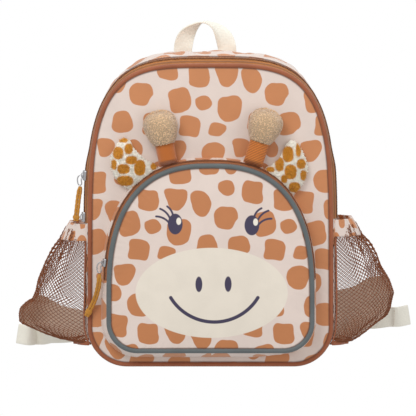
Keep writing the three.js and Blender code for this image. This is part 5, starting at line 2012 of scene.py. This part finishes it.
@dataclass
class Horn:
    """A horn: a stem and a terry tip.

    Its lean is in degrees outwards, its stem a share of the usual length, and its ribs' pitch
    in millimetres, or 0 for a velvet stem.
    """

    side: Side
    lean: float
    stem: float
    stem_finish: StemCloth
    ribs: float
    finishes: Finishes
    spacing: float = 82.0
    stem_width: float = 19.0
    stem_depth: float = 15.0
    stem_length: float = 25.0
    tip_width: float = 33.5
    tip_depth: float = 28.0
    tip_height: float = 34.0
    stem_rings: int = 130
    stem_sides: int = 40
    stem_root: float = 0.4
    stem_into_tip: float = 1.5
    foot_share: float = 0.3
    foot_rise: tuple[float, float] = (1.0, 9.0)
    rib_height: float = 0.05
    tip_sides: int = 48
    tip_crown: float = 0.93
    loops: int = 2300
    tip_profile: tuple[tuple[float, float], ...] = (
        (0.0, 0.6), (0.12, 0.74), (0.32, 0.9), (0.55, 1.0), (0.76, 0.94), (0.9, 0.7), (0.98, 0.34),
    )

    def foot_height(self) -> float:
        """Height of the pocket's top edge below the horn."""
        half = SIZES.pocket_outline.half()
        top = half[half[:, 1] > 100][::-1]
        return float(np.interp(self.spacing / 2, top[:, 0], top[:, 1]))

    def sections(self, reach: Array, width: Array, depth: Array, sides: int) -> Array:
        """Oval rings along the horn.

        Args:
            reach: each ring's length from the foot.
            width: each ring's width.
            depth: each ring's depth.
            sides: points in a ring.

        Returns:
            Rings by points by x, y and z.
        """
        lean = math.radians(self.lean) * self.side.value
        along = np.array([math.sin(lean), 0, math.cos(lean)])
        across = np.array([math.cos(lean), 0, -math.sin(lean)])
        foot = np.array([self.side.value * self.spacing / 2, 0, self.foot_height()])
        middle = foot + reach[:, None] * along
        y = front_face_y(middle[:, 0], middle[:, 2]) - 3 * SIZES.seam_gap - depth / 2
        angle = even_angles(sides)
        rings = middle[:, None] + across * (np.cos(angle)[None, :, None] * width[:, None, None] / 2)
        rings[..., 1] = y[:, None] + np.sin(angle)[None] * depth[:, None] / 2
        return rings

    def build_stem(self) -> None:
        """The stem, ribbed or velvety."""
        top, sides = self.stem_length * self.stem, self.stem_sides
        reach = np.linspace(-self.stem_root * top, top + self.stem_into_tip, self.stem_rings)
        ribs = np.abs(np.sin(reach * math.pi / self.ribs)) if self.ribs else np.ones(self.stem_rings)
        swell = 1 + 0.012 * ripple(reach / 2.1, reach / 3.7 + 1)
        if self.ribs:
            swell = swell + self.rib_height * ribs
        pinch = self.foot_share + (1 - self.foot_share) * smooth(reach, *self.foot_rise)
        rings = self.sections(reach, self.stem_width * swell, self.stem_depth * swell * pinch, sides)
        mesh = capped(grid(rings, wrap_columns=True), np.arange(sides),
                      np.arange(sides) + sides * (self.stem_rings - 1))
        # Painted shade: a ribbed stem's colour darkens in the valleys between its ribs.
        mesh.values["pile"] = np.append(np.repeat(ribs, sides), [1.0, 1.0])
        mesh.values["patch"] = np.full(len(mesh.points), FAR)
        piece = make_piece(f"horn_stem_{self.side.word}_cloth", mesh, self.finishes[self.stem_finish.value],
                           (f"horn_stem_{self.side.word}",))

    def tip_rings(self, share: Array) -> Array:
        """The tip's rings.

        Args:
            share: shares of the tip's height.

        Returns:
            Rings by points by x, y and z.
        """
        heights, widths = np.array(self.tip_profile).T
        line = route(np.column_stack([heights, widths, 0 * widths]), 200)
        size = np.interp(share, line[:, 0], line[:, 1])
        crown = 0.9 * np.sqrt(np.clip((1.0 - share) / 0.12, 0, 1))
        size = np.where(share > self.tip_crown, np.minimum(size, crown), size)
        base = self.stem_length * self.stem + SIZES.seam_gap
        return self.sections(base + self.tip_height * share, self.tip_width * size, self.tip_depth * size,
                             self.tip_sides)

    def build_tip(self) -> None:
        """The terry tip with its loops."""
        share = np.concatenate([np.linspace(0, 0.92, 26), np.linspace(0.94, 0.998, 7)])
        first = np.arange(self.tip_sides)
        skin = capped(grid(self.tip_rings(share), wrap_columns=True), first,
                      first + self.tip_sides * (len(share) - 1))
        # Painted shade: the skin under the loops is darkest.
        skin.values["pile"] = np.full(len(skin.points), 0.1)
        rng = np.random.default_rng(TIP_SEEDS[self.side])
        height = rng.random(self.loops) ** 0.9 * 0.995
        column = rng.integers(0, self.tip_sides, self.loops)
        rings, each = self.tip_rings(height), np.arange(self.loops)
        places, following = rings[each, column], rings[each, (column + 1) % self.tip_sides]
        places = places + (following - places) * rng.random(self.loops)[:, None]
        centre = self.tip_rings(height * 0.6 + 0.14).mean(1)
        out = unit(places - centre)
        side = unit(np.cross(out, rng.normal(0, 1, out.shape)))
        size = rng.uniform(0.55, 1.05, self.loops)[:, None]
        curl = bead(5, 3)
        loops = scatter(curl, places, side * size, np.cross(out, side) * size * 0.7, out * size * 0.75)
        # Each loop gets a random pile value: partly tone that differs at random, partly painted shade of
        # deeper loops.
        loops.values["pile"] = np.repeat(rng.uniform(0.35, 1.0, self.loops), len(curl.points))
        mesh = skin.join(loops)
        mesh.values["patch"] = np.full(len(mesh.points), FAR)
        piece = make_piece(f"horn_tip_{self.side.word}_terry", mesh, self.finishes["cream_terry"],
                           (f"horn_tip_{self.side.word}",))

    def build(self) -> None:
        """Builds the horn."""
        self.build_stem()
        self.build_tip()


@dataclass
class HaulLoop:
    """The webbing loop at the top of the back, whose crest is turned edge on.

    The table's columns are the place across and up, as shares, and the webbing's turn in degrees.
    """

    finishes: Finishes
    width: float = 18.5
    wall: float = 2.2
    spread: float = 44.0
    rise: float = 38.2
    middle: float = -5.5
    seam_depth: float = 5.0
    steps: int = 160
    table: tuple[tuple[float, float, float], ...] = (
        (-1.0, 0.0, 0.0), (-1.0, 0.3, 0.0), (-0.86, 0.58, 24.0), (-0.5, 0.83, 52.0), (-0.08, 0.96, 84.0),
        (0.42, 0.86, 58.0), (0.84, 0.58, 26.0), (1.0, 0.3, 0.0), (1.0, 0.0, 0.0),
    )

    def build(self) -> None:
        """Builds the loop, whose feet go down into the seam."""
        rows = np.array(self.table)
        places = np.column_stack([
            self.middle + rows[:, 0] * self.spread / 2, np.full(len(rows), SIZES.back_y),
            SIZES.body_height + SIZES.seam_gap + rows[:, 1] * self.rise,
        ])
        line = route(places, self.steps)
        marks = np.linspace(0, len(rows) - 1, self.steps + 1)
        turn = np.radians(np.interp(marks, np.arange(len(rows)), rows[:, 2]))
        down = [0, 0, self.seam_depth]
        line = np.vstack([line[:1] - down, line, line[-1:] - down])
        turn = np.concatenate([turn[:1], turn, turn[-1:]])
        across, facing = frames(line, np.column_stack([np.cos(turn), np.sin(turn), 0 * turn]))
        mesh = sweep(line, across, facing, strap_section(self.width, self.wall, power=6))
        make_piece("haul_loop_webbing", mesh, self.finishes["ivory_webbing"],
                   ("haul_loop",))


@dataclass
class ShoulderStrap:
    """A padded strap with its ladder lock and webbing.

    The tip is how far out the webbing's end lies, how high, and how far back it turns. The
    table's columns are shares: outwards, off the back, downwards, and of the width.
    """

    side: Side
    tip: tuple[float, float, float]
    finishes: Finishes
    width: float = 48.0
    thickness: float = 9.0
    spacing: float = 84.0
    top_height: float = 276.0
    standoff: float = 42.0
    lock_height: float = 72.0
    lock_spacing: float = 176.0
    lock_width: float = 32.0
    lock_rise: float = 27.0
    lock_thickness: float = 4.0
    lock_bar: float = 3.4
    webbing_width: float = 20.0
    webbing_wall: float = 1.5
    anchor_spacing: float = 188.0
    anchor_height: float = 16.0
    tail_standoff: float = 13.0
    fold: float = 15.0
    turned: float = 0.0
    twist: float = 0.0
    columns: int = 41
    seam_share: float = 0.8
    lock_corners: int = 96
    lock_roundness: float = 0.22
    table: tuple[tuple[float, float, float, float], ...] = (
        (0.0, 0.0, 0.0, 1.0), (0.0, 0.04, 0.06, 1.0), (0.04, 0.42, 0.17, 1.0), (0.15, 0.85, 0.34, 1.0),
        (0.42, 1.0, 0.55, 1.0), (0.74, 0.88, 0.76, 1.0), (0.96, 0.7, 0.9, 0.9), (1.0, 0.62, 0.97, 0.62),
        (1.0, 0.62, 1.0, 0.5),
    )

    def __post_init__(self) -> None:
        """Reads from the solids how far the lock stands off the back."""
        low, high = box_mm(f"ladder_lock_{self.side.word}")
        self.lock_y = float(low[1] + high[1]) / 2
        self.seat_y = self.lock_y - self.table[-1][1] * self.standoff

    def strap(self) -> None:
        """The padded strap with its bound edges and two lines of stitches."""
        rows = np.array(self.table)
        end = self.lock_height + self.lock_rise / 2 + SIZES.seam_gap
        places = np.column_stack([
            self.side.value * (self.spacing + (self.lock_spacing - self.spacing) * rows[:, 0]) / 2,
            self.seat_y + rows[:, 1] * self.standoff,
            self.top_height + (end - self.top_height) * rows[:, 2],
        ])
        line = route(places, 200)
        down = (self.top_height - line[:, 2]) / (self.top_height - end)
        width = self.width * np.interp(down, rows[:, 2], rows[:, 3])
        across, facing = frames(line, np.tile([1.0, 0.0, 0.0], (len(line), 1)))
        there = np.linspace(-1, 1, self.columns)
        u = np.concatenate([there, there[::-1][1:-1]])
        face = np.concatenate([np.ones(self.columns), -np.ones(self.columns - 2)])
        pad = np.sqrt(np.clip(1 - np.abs(u) ** 3, 0, 1)) * self.thickness / 2
        channel = 1.3 * np.exp(-((np.abs(u) - self.seam_share) / 0.045) ** 2)
        edge = 1.7 * np.sqrt(np.clip(1 - ((np.abs(u) - 0.93) / 0.08) ** 2, 0, 1))
        half = np.maximum(np.maximum(pad - channel, 0.6), edge)
        half = np.where(np.abs(u) >= 0.999, 0.0, half)
        run = np.linspace(0, 1, len(line))[:, None]
        swell = 1 + 0.04 * ripple(run * 60 + u * 2, run * 35 - u * 3)
        section = np.stack([u[None] * width[:, None] / 2, face * half * swell], axis=-1)
        mesh = sweep(line, across, facing, section)
        printed(mesh, STRAP_REPEAT_CORNER, mesh.points[:, 0], mesh.points[:, 2])
        strap = make_piece(f"strap_{self.side.word}_pad", mesh, self.finishes["strap_fabric"],
                           (f"shoulder_strap_{self.side.word}",))
        rows_of = []
        for edge_side in (-1, 1):
            for face_side in (-1, 1):
                aside = (edge_side * self.seam_share * width / 2)[:, None]
                seam = line + across * aside + facing * face_side * 2.5
                rows_of.append(stitches(seam, facing * face_side, 3.4, 2.4, 0.6))
        make_piece(f"strap_{self.side.word}_stitches", joined(rows_of), self.finishes["seam_thread"])

    def lock(self) -> None:
        """The ladder lock: a rounded frame with a middle bar."""
        centre = np.array([self.side.value * self.lock_spacing / 2, self.lock_y, self.lock_height])
        half_x = self.lock_width / 2 - self.lock_bar / 2
        half_z = self.lock_rise / 2 - self.lock_bar / 2
        count, roundness = self.lock_corners, self.lock_roundness
        cos, sin = np.cos(even_angles(count)), np.sin(even_angles(count))
        ring = centre + np.column_stack([
            np.sign(cos) * np.abs(cos) ** roundness * half_x, 0 * cos,
            np.sign(sin) * np.abs(sin) ** roundness * half_z,
        ])
        ahead = tangents(ring)
        facing = np.tile([0.0, 1.0, 0.0], (count, 1))
        section = strap_section(self.lock_bar, self.lock_thickness)
        rim = sweep(ring, np.cross(ahead, facing), facing, section, closed=True)
        line = np.linspace(centre - [half_x, 0, 0], centre + [half_x, 0, 0], 24)
        bar = sweep(line, np.tile([0.0, 0.0, 1.0], (24, 1)), facing[:24], section)
        make_piece(f"ladder_lock_{self.side.word}_frame", joined([rim, bar]), self.finishes["ivory_plastic"],
                   (f"ladder_lock_{self.side.word}",))

    def webbing(self) -> None:
        """The webbing: up from the base, round the middle bar and out sideways to its folded tip."""
        sign = self.side.value
        lock_x, anchor_x = sign * self.lock_spacing / 2, sign * self.anchor_spacing / 2
        leg = self.lock_thickness / 2 + SIZES.seam_gap + self.webbing_wall / 2
        seat_z = self.anchor_height + self.webbing_width / 2
        anchor_y = box_mm(f"strap_webbing_{self.side.word}")[0][1] + self.webbing_wall / 2
        bend_z = self.lock_height + self.lock_bar / 2
        foot = self.lock_height - self.lock_rise / 2
        y = self.lock_y
        up = route([
            (anchor_x, anchor_y, self.anchor_height), (anchor_x, anchor_y + SIZES.seam_gap, seat_z),
            (lock_x, y - leg - SIZES.seam_gap, foot - self.lock_bar),
            (lock_x, y - leg, foot + self.lock_bar), (lock_x, y - leg, bend_z),
        ], 60)
        angle = np.linspace(0, math.pi, 17)
        bend = np.column_stack([np.full(17, lock_x), y - leg * np.cos(angle), bend_z + leg * np.sin(angle)])
        tip_out, tip_height, tip_turn = self.tip
        tip_x, tail_y = sign * tip_out, SIZES.back_y + self.tail_standoff
        down = route([
            (lock_x, y + leg, bend_z), (lock_x, y + leg, foot + self.lock_bar),
            (lock_x, y + leg + SIZES.seam_gap, foot - self.lock_bar),
            (lock_x + (tip_x - lock_x) * 0.34, y, tip_height + self.webbing_width * 0.1),
            (lock_x + (tip_x - lock_x) * 0.66, tail_y, tip_height - self.webbing_width * 0.1),
            (tip_x - sign * self.fold * 1.25, tail_y + self.turned * 1.6, tip_height),
            (tip_x - sign * self.fold * 0.72, tail_y - self.turned * 0.5, tip_height),
            (tip_x, tail_y + tip_turn, tip_height + self.webbing_width * 0.08),
        ], 150)
        line = np.vstack([up[:-1], bend[:-1], down])
        along = directions(line)
        first = len(up) + len(bend) - 2
        hint = np.tile([1.0, 0.0, 0.0], (len(line), 1))
        run = np.linspace(0, 1, len(line) - first)
        twist = self.twist * smooth(run, 0.3, 0.5) * (1 - smooth(run, 0.74, 0.86))
        hint[first:] = np.column_stack([-along[first:, 2] * np.cos(twist), np.sin(twist),
                                        along[first:, 0] * np.cos(twist)])
        across, facing = frames(line, hint)
        folded = smooth(np.arange(len(line)), len(line) - 22, len(line) - 20)
        wall = self.webbing_wall * (1 + folded * (1.3 + self.turned * 0.25))
        section = strap_section(self.webbing_width, 1.0, power=6)
        widths = np.repeat(section[None, :, 0], len(line), 0)
        sections = np.stack([widths, section[None, :, 1] * wall[:, None]], axis=-1)
        mesh = sweep(line, across, facing, sections)
        make_piece(f"strap_webbing_{self.side.word}_band", mesh, self.finishes["ivory_webbing"],
                   (f"strap_webbing_{self.side.word}",))
        aside = np.linspace(-0.42, 0.42, 12)[:, None] * self.webbing_width
        seam = line[-20:-18].mean(0) + aside * across[-19]
        rows_of = [stitches(seam + facing[-19] * side * 1.75, np.tile(facing[-19] * side, (12, 1)),
                            pitch=2.6, length=1.9) for side in (-1, 1)]
        make_piece(f"strap_webbing_{self.side.word}_stitches", joined(rows_of), self.finishes["seam_thread"])

    def build(self) -> None:
        """Builds the strap."""
        self.strap()
        self.lock()
        self.webbing()


@dataclass
class ZipPull:
    """A slider with its wire and doubled cord."""

    zip: Fastener
    height: float
    width: float
    length: float
    roof: float
    node: str
    finishes: Finishes
    wire: float = 1.6
    cord_width: float = 5.4
    cord_depth: float = 2.4

    def place(self) -> tuple[Array, Array, Array, Array]:
        """Where the slider sits.

        Returns:
            Its middle, and its directions across, out and along.
        """
        run = np.array([self.zip.seam.run_at(Side.LEFT, self.height)])
        points, normals = self.zip.seam.at(run)
        ends = []
        for depth in (self.zip.front_y, self.zip.front_y + self.zip.width):
            y = np.full((1, 1), depth)
            ends.append(raised(points, normals, self.zip.offset_of(points, y), y)[0, 0])
        across = (ends[1] - ends[0]) / np.linalg.norm(ends[1] - ends[0])
        along = np.array([-normals[0, 1], 0, normals[0, 0]])
        along *= math.copysign(1, along[2])
        return (ends[0] + ends[1]) / 2, across, np.cross(along, across), along

    def slider(self) -> None:
        """The slider's body: a waisted channel with a crown over it."""
        middle, across, out, along = self.place()
        steps = np.linspace(-1, 1, 26)
        line = middle + along * (steps * self.length / 2)[:, None]
        channel = self.zip.coil_width / 2 + SIZES.seam_gap
        half = max(self.width / 2, channel + 1)
        right = [(channel - 0.4, 1.8), (channel, 1.5), (channel, SIZES.seam_gap), (half, SIZES.seam_gap),
                 (half + 0.05, 1.2), (half - 0.15, self.roof - 1.1), (half - 0.9, self.roof - 0.2),
                 (half - 1.7, self.roof)]
        shape = right + [(-aside, up) for aside, up in reversed(right)]
        waist = 0.84 + 0.16 * smooth(steps, -0.6, 0.7) - 0.16 * np.abs(steps) ** 12
        rise = 1 - 0.1 * np.abs(steps) ** 8
        sections = np.array(shape)[None] * np.stack([waist, rise], axis=-1)[:, None]
        mesh = sweep(line, np.tile(across, (len(steps), 1)), np.tile(out, (len(steps), 1)), sections)
        arch = np.linspace(0, math.pi, 18)
        crown = (middle + along * (np.cos(arch) * self.length * 0.3)[:, None]
                 + out * (self.roof - 0.4 + np.sin(arch) * 1.9)[:, None])
        crown_across, crown_facing = frames(crown, np.tile(across, (len(arch), 1)))
        mesh = mesh.join(sweep(crown, crown_across, crown_facing, strap_section(2.0, 0.8)))
        make_piece(f"{self.node}_body", mesh, self.finishes["slider_steel"], (self.node,))

    def pull(self, names: tuple[str, str], drop: tuple[float, float, float],
             table: Sequence[tuple[float, float, float]], length: float, rest_y: float | None) -> None:
        """The wire and the cord that hang from the slider.

        The wire goes up one side and down the other, and the cord is doubled.

        Args:
            names: the nodes of the wire and the cord.
            drop: from the slider's crown to the wire's lower end.
            table: the cord's route: out, down and back, as shares.
            length: the cord's length.
            rest_y: depth at which the cord's end rests, or None for the slider's.
        """
        middle, _, out, _ = self.place()
        start = middle + out * (self.roof + SIZES.seam_gap + self.wire / 2)
        end = start + drop
        bow = (start + end) / 2 + np.array([-self.wire, 0, self.wire])
        line = route([start, bow, end], 24)
        sideways, _ = frames(line, beside(line))
        share = np.linspace(0, 1, 25)[:, None]
        spread = 1.9 * np.sqrt(np.clip(1 - (2 * share - 1) ** 6, 0, 1))
        loop = np.vstack([line + sideways * spread, (line - sideways * spread)[::-1][1:-1]])
        ahead = tangents(loop)
        hint = np.tile(out, (len(loop), 1))
        across = unit(hint - ahead * np.sum(ahead * hint, axis=1)[:, None])
        wire = sweep(loop, across, np.cross(ahead, across), round_section(1.2, 1.2, 10), closed=True)
        make_piece(f"{names[0]}_loop", wire, self.finishes["slider_steel"], (names[0],))
        top = end + directions(line)[-1] * (SIZES.seam_gap + self.wire / 2)
        target = top[1] if rest_y is None else rest_y
        places = [(top[0] - aside * length, top[1] + (target - top[1]) * back, top[2] - fall * length)
                  for aside, fall, back in table]
        cord = route(places, 90)
        cord_across, cord_facing = frames(cord, beside(cord))
        meshes = []
        reach = np.linspace(0, 1, 91)
        for side in (-1, 1):
            strand = self.cord_width / 4
            waist = 0.1 * np.exp(-((reach - 0.9) / 0.04) ** 2)
            apart = strand * (0.25 + 0.72 * smooth(reach, 0, 0.12) - waist)
            path = cord + cord_across * (side * apart)[:, None]
            twist = reach * length / self.cord_depth * TURN / 2
            section = round_section(self.cord_width / 2, self.cord_depth, 12)
            braid = 1 + 0.09 * np.sin(twist[:, None] + np.arange(12)[None] * TURN / 6 * side)
            meshes.append(sweep(path, cord_across, cord_facing, section[None] * braid[..., None]))
        wrap = 1 + 0.3 * (smooth(reach, 0.84, 0.86) - smooth(reach, 0.93, 0.95))
        band = (reach > 0.83) & (reach < 0.96)
        section = round_section(self.cord_width, self.cord_depth, 20)
        meshes.append(sweep(cord[band], cord_across[band], cord_facing[band],
                            section[None] * wrap[band, None, None]))
        make_piece(f"{names[1]}_braid", joined(meshes), self.finishes["mustard_cord"],
                   (names[1],))


@dataclass
class Studio:
    """White ground and background, soft lights and the camera."""

    camera_distance: float = 12.0
    lens: float = 1038.5
    elevation: float = 3.5
    aim: tuple[float, float, float] = (-2.5, -50.0, 159.3)
    lit: tuple[float, float, float] = (0.0, 0.0, 0.15)
    paper_radius: float = 30.0
    world_strength: float = 0.66

    def paper(self) -> None:
        """A white ball of paper round the bag, too bright to take a shadow."""
        mesh = bead(32, 20)
        data = bpy.data.meshes.new("paper")
        faces = [face.tolist() for group in mesh.faces for face in group]
        data.from_pydata((mesh.points * self.paper_radius).tolist(), [], faces)
        sketch = NodeSketch("white_paper")
        sketch.finish((0.0, 0.0, 0.0), 1.0, Emission_Strength=1.0, Specular_IOR_Level=0.0)
        sketch.shader.inputs["Emission Color"].default_value = (1, 1, 1, 1)
        data.materials.append(sketch.material)
        paper = bpy.data.objects.new("paper", data)
        for seen in ("visible_diffuse", "visible_glossy", "visible_transmission", "visible_shadow"):
            setattr(paper, seen, False)
        bpy.context.scene.collection.objects.link(paper)

    def lamp(self, name: str, place: tuple[float, float, float], size: float, power: float) -> None:
        """One soft square lamp that faces the bag.

        Args:
            name: the lamp's name.
            place: where it stands, in metres.
            size: its side, in metres.
            power: its power, in watts.
        """
        light = bpy.data.lights.new(name, "AREA")
        light.size = size
        light.energy = power
        lamp = bpy.data.objects.new(name, light)
        lamp.location = place
        lamp.rotation_euler = (Vector(self.lit) - Vector(place)).to_track_quat("-Z", "Y").to_euler()
        bpy.context.scene.collection.objects.link(lamp)

    def camera(self) -> None:
        """The camera in front of the bag."""
        data = bpy.data.cameras.new("camera")
        data.lens = self.lens
        data.sensor_width = 36
        camera = bpy.data.objects.new("camera", data)
        tilt = math.radians(self.elevation)
        aim = Vector(self.aim) * MM
        camera.location = aim + Vector((0, -math.cos(tilt), math.sin(tilt))) * self.camera_distance
        camera.rotation_euler = (aim - camera.location).to_track_quat("-Z", "Y").to_euler()
        bpy.context.scene.collection.objects.link(camera)
        bpy.context.scene.camera = camera

    def build(self) -> None:
        """Sets up the studio."""
        scene = bpy.context.scene
        scene.view_settings.view_transform = "Standard"
        scene.world = scene.world or bpy.data.worlds.new("world")
        scene.world.use_nodes = True
        background = scene.world.node_tree.nodes["Background"]
        background.inputs[0].default_value = (1, 1, 1, 1)
        background.inputs[1].default_value = self.world_strength
        self.paper()
        self.lamp("key", (-0.7, -1.6, 1.5), 0.9, 18)
        self.lamp("fill", (1.6, -1.5, 0.7), 1.2, 7)
        self.lamp("top", (0.1, 0.3, 1.9), 1.0, 9)
        self.camera()


NET_POCKETS = (
    (Side.LEFT, 142.5, (0.41, 0.26), (
        (0.0, 0.03), (0.03, 0.36), (0.08, 0.6), (0.14, 0.8), (0.19, 0.97), (0.27, 1.0), (0.33, 0.99),
        (0.39, 0.9), (0.42, 0.81), (0.5, 0.75), (0.6, 0.71), (0.78, 0.61), (0.91, 0.49), (1.0, 0.39))),
    (Side.RIGHT, 147.06, (0.55, 0.44), (
        (0.0, 0.03), (0.02, 0.27), (0.05, 0.36), (0.11, 0.48), (0.15, 0.55), (0.2, 0.66), (0.25, 0.78),
        (0.32, 0.84), (0.46, 0.88), (0.57, 0.81), (0.7, 0.69), (0.81, 0.63), (0.93, 0.51), (1.0, 0.4))),
)
EARS = (
    (Side.LEFT, (0.519, 0.863), (
        (0.0, 0.46), (0.23, 0.57), (0.48, 0.79), (0.61, 0.98), (0.75, 1.0), (0.97, 0.66), (0.99, 0.45),
        (0.86, 0.17), (0.68, 0.03), (0.36, -0.04), (0.04, 0.16)), (
        Oval(123.0, 139.8, 10, 5), Oval(118.4, 152.8, 10, 12), Oval(128.7, 148.6, 8, 10),
        Oval(131.4, 159.7, 11, 8), Oval(114.2, 164.3, 5, 10), Oval(123.7, 168.5, 12, 9.5),
        Oval(139.8, 167.3, 11, 15), Oval(125.2, 180.3, 16, 10), Oval(153.6, 165.8, 6, 7))),
    (Side.RIGHT, (0.51, 0.853), (
        (0.04, 0.44), (0.2, 0.51), (0.38, 0.7), (0.48, 0.89), (0.59, 1.0), (0.73, 0.94), (0.89, 0.67),
        (0.95, 0.42), (0.88, 0.19), (0.67, -0.05), (0.34, -0.05), (0.05, 0.12)), (
        Oval(288.0, 153.9, 10.5, 15), Oval(298.2, 149.6, 5, 14), Oval(279.6, 164.0, 8.5, 13),
        Oval(301.0, 163.7, 8.5, 9.5), Oval(290.5, 171.4, 11.5, 14), Oval(303.2, 174.9, 6, 10),
        Oval(270.5, 169.0, 8, 5), Oval(284.2, 178.4, 6, 8), Oval(294.4, 186.8, 11, 10))),
)
MAIN_PULL_ROUTE = ((0.0, 0.0, 0.0), (0.05, 0.3, 0.2), (0.09, 0.64, 0.6), (0.13, 0.99, 1.0))
POCKET_PULL_ROUTE = ((0.0, 0.0, 0.0), (0.01, 0.17, 0.06), (0.04, 0.34, 0.3), (0.11, 0.58, 0.7),
                     (0.29, 0.94, 1.0))


def main() -> None:
    """Builds the bag piece by piece, then the studio."""
    logging.basicConfig(level=logging.INFO, format="%(message)s")
    finishes = cloth_pieces()
    body = MainBody(finishes)
    body.build()
    pocket = FrontPocket(finishes)
    pocket.build()
    for side, hem_top, lining, profile in NET_POCKETS:
        NetPocket(side, hem_top, lining, profile, finishes).build()
    for side, root, outline, spots in EARS:
        Ear(side, root, outline, spots, finishes).build()
    Horn(Side.LEFT, 12.0, 0.96, StemCloth.VELVET, 0.0, finishes).build()
    Horn(Side.RIGHT, 17.5, 1.08, StemCloth.RIBBED, 1.6, finishes).build()
    HaulLoop(finishes).build()
    ShoulderStrap(Side.LEFT, (194.0, 24.0, 3.0), finishes, turned=4.0, twist=0.9).build()
    ShoulderStrap(Side.RIGHT, (199.8, 42.5, 9.0), finishes).build()
    upper = ZipPull(body.zip, 191.0, 8.0, 10.0, 3.6, "main_slider_upper", finishes)
    upper.slider()
    upper.pull(("main_pull_wire", "main_pull_cord"), (-1.6, -0.8, -10.0), MAIN_PULL_ROUTE, 35.0, None)
    ZipPull(body.zip, 149.5, 8.0, 10.0, 3.6, "main_slider_lower", finishes).slider()
    small = ZipPull(pocket.zip, 105.0, 6.0, 8.0, 3.4, "pocket_slider", finishes)
    small.slider()
    small.pull(("pocket_pull_wire", "pocket_pull_cord"), (-2.4, 0.0, -10.4), POCKET_PULL_ROUTE, 46.0,
               SIZES.front_y - SIZES.piping / 2 - 3.0)
    Studio().build()


if __name__ == "__main__":
    main()
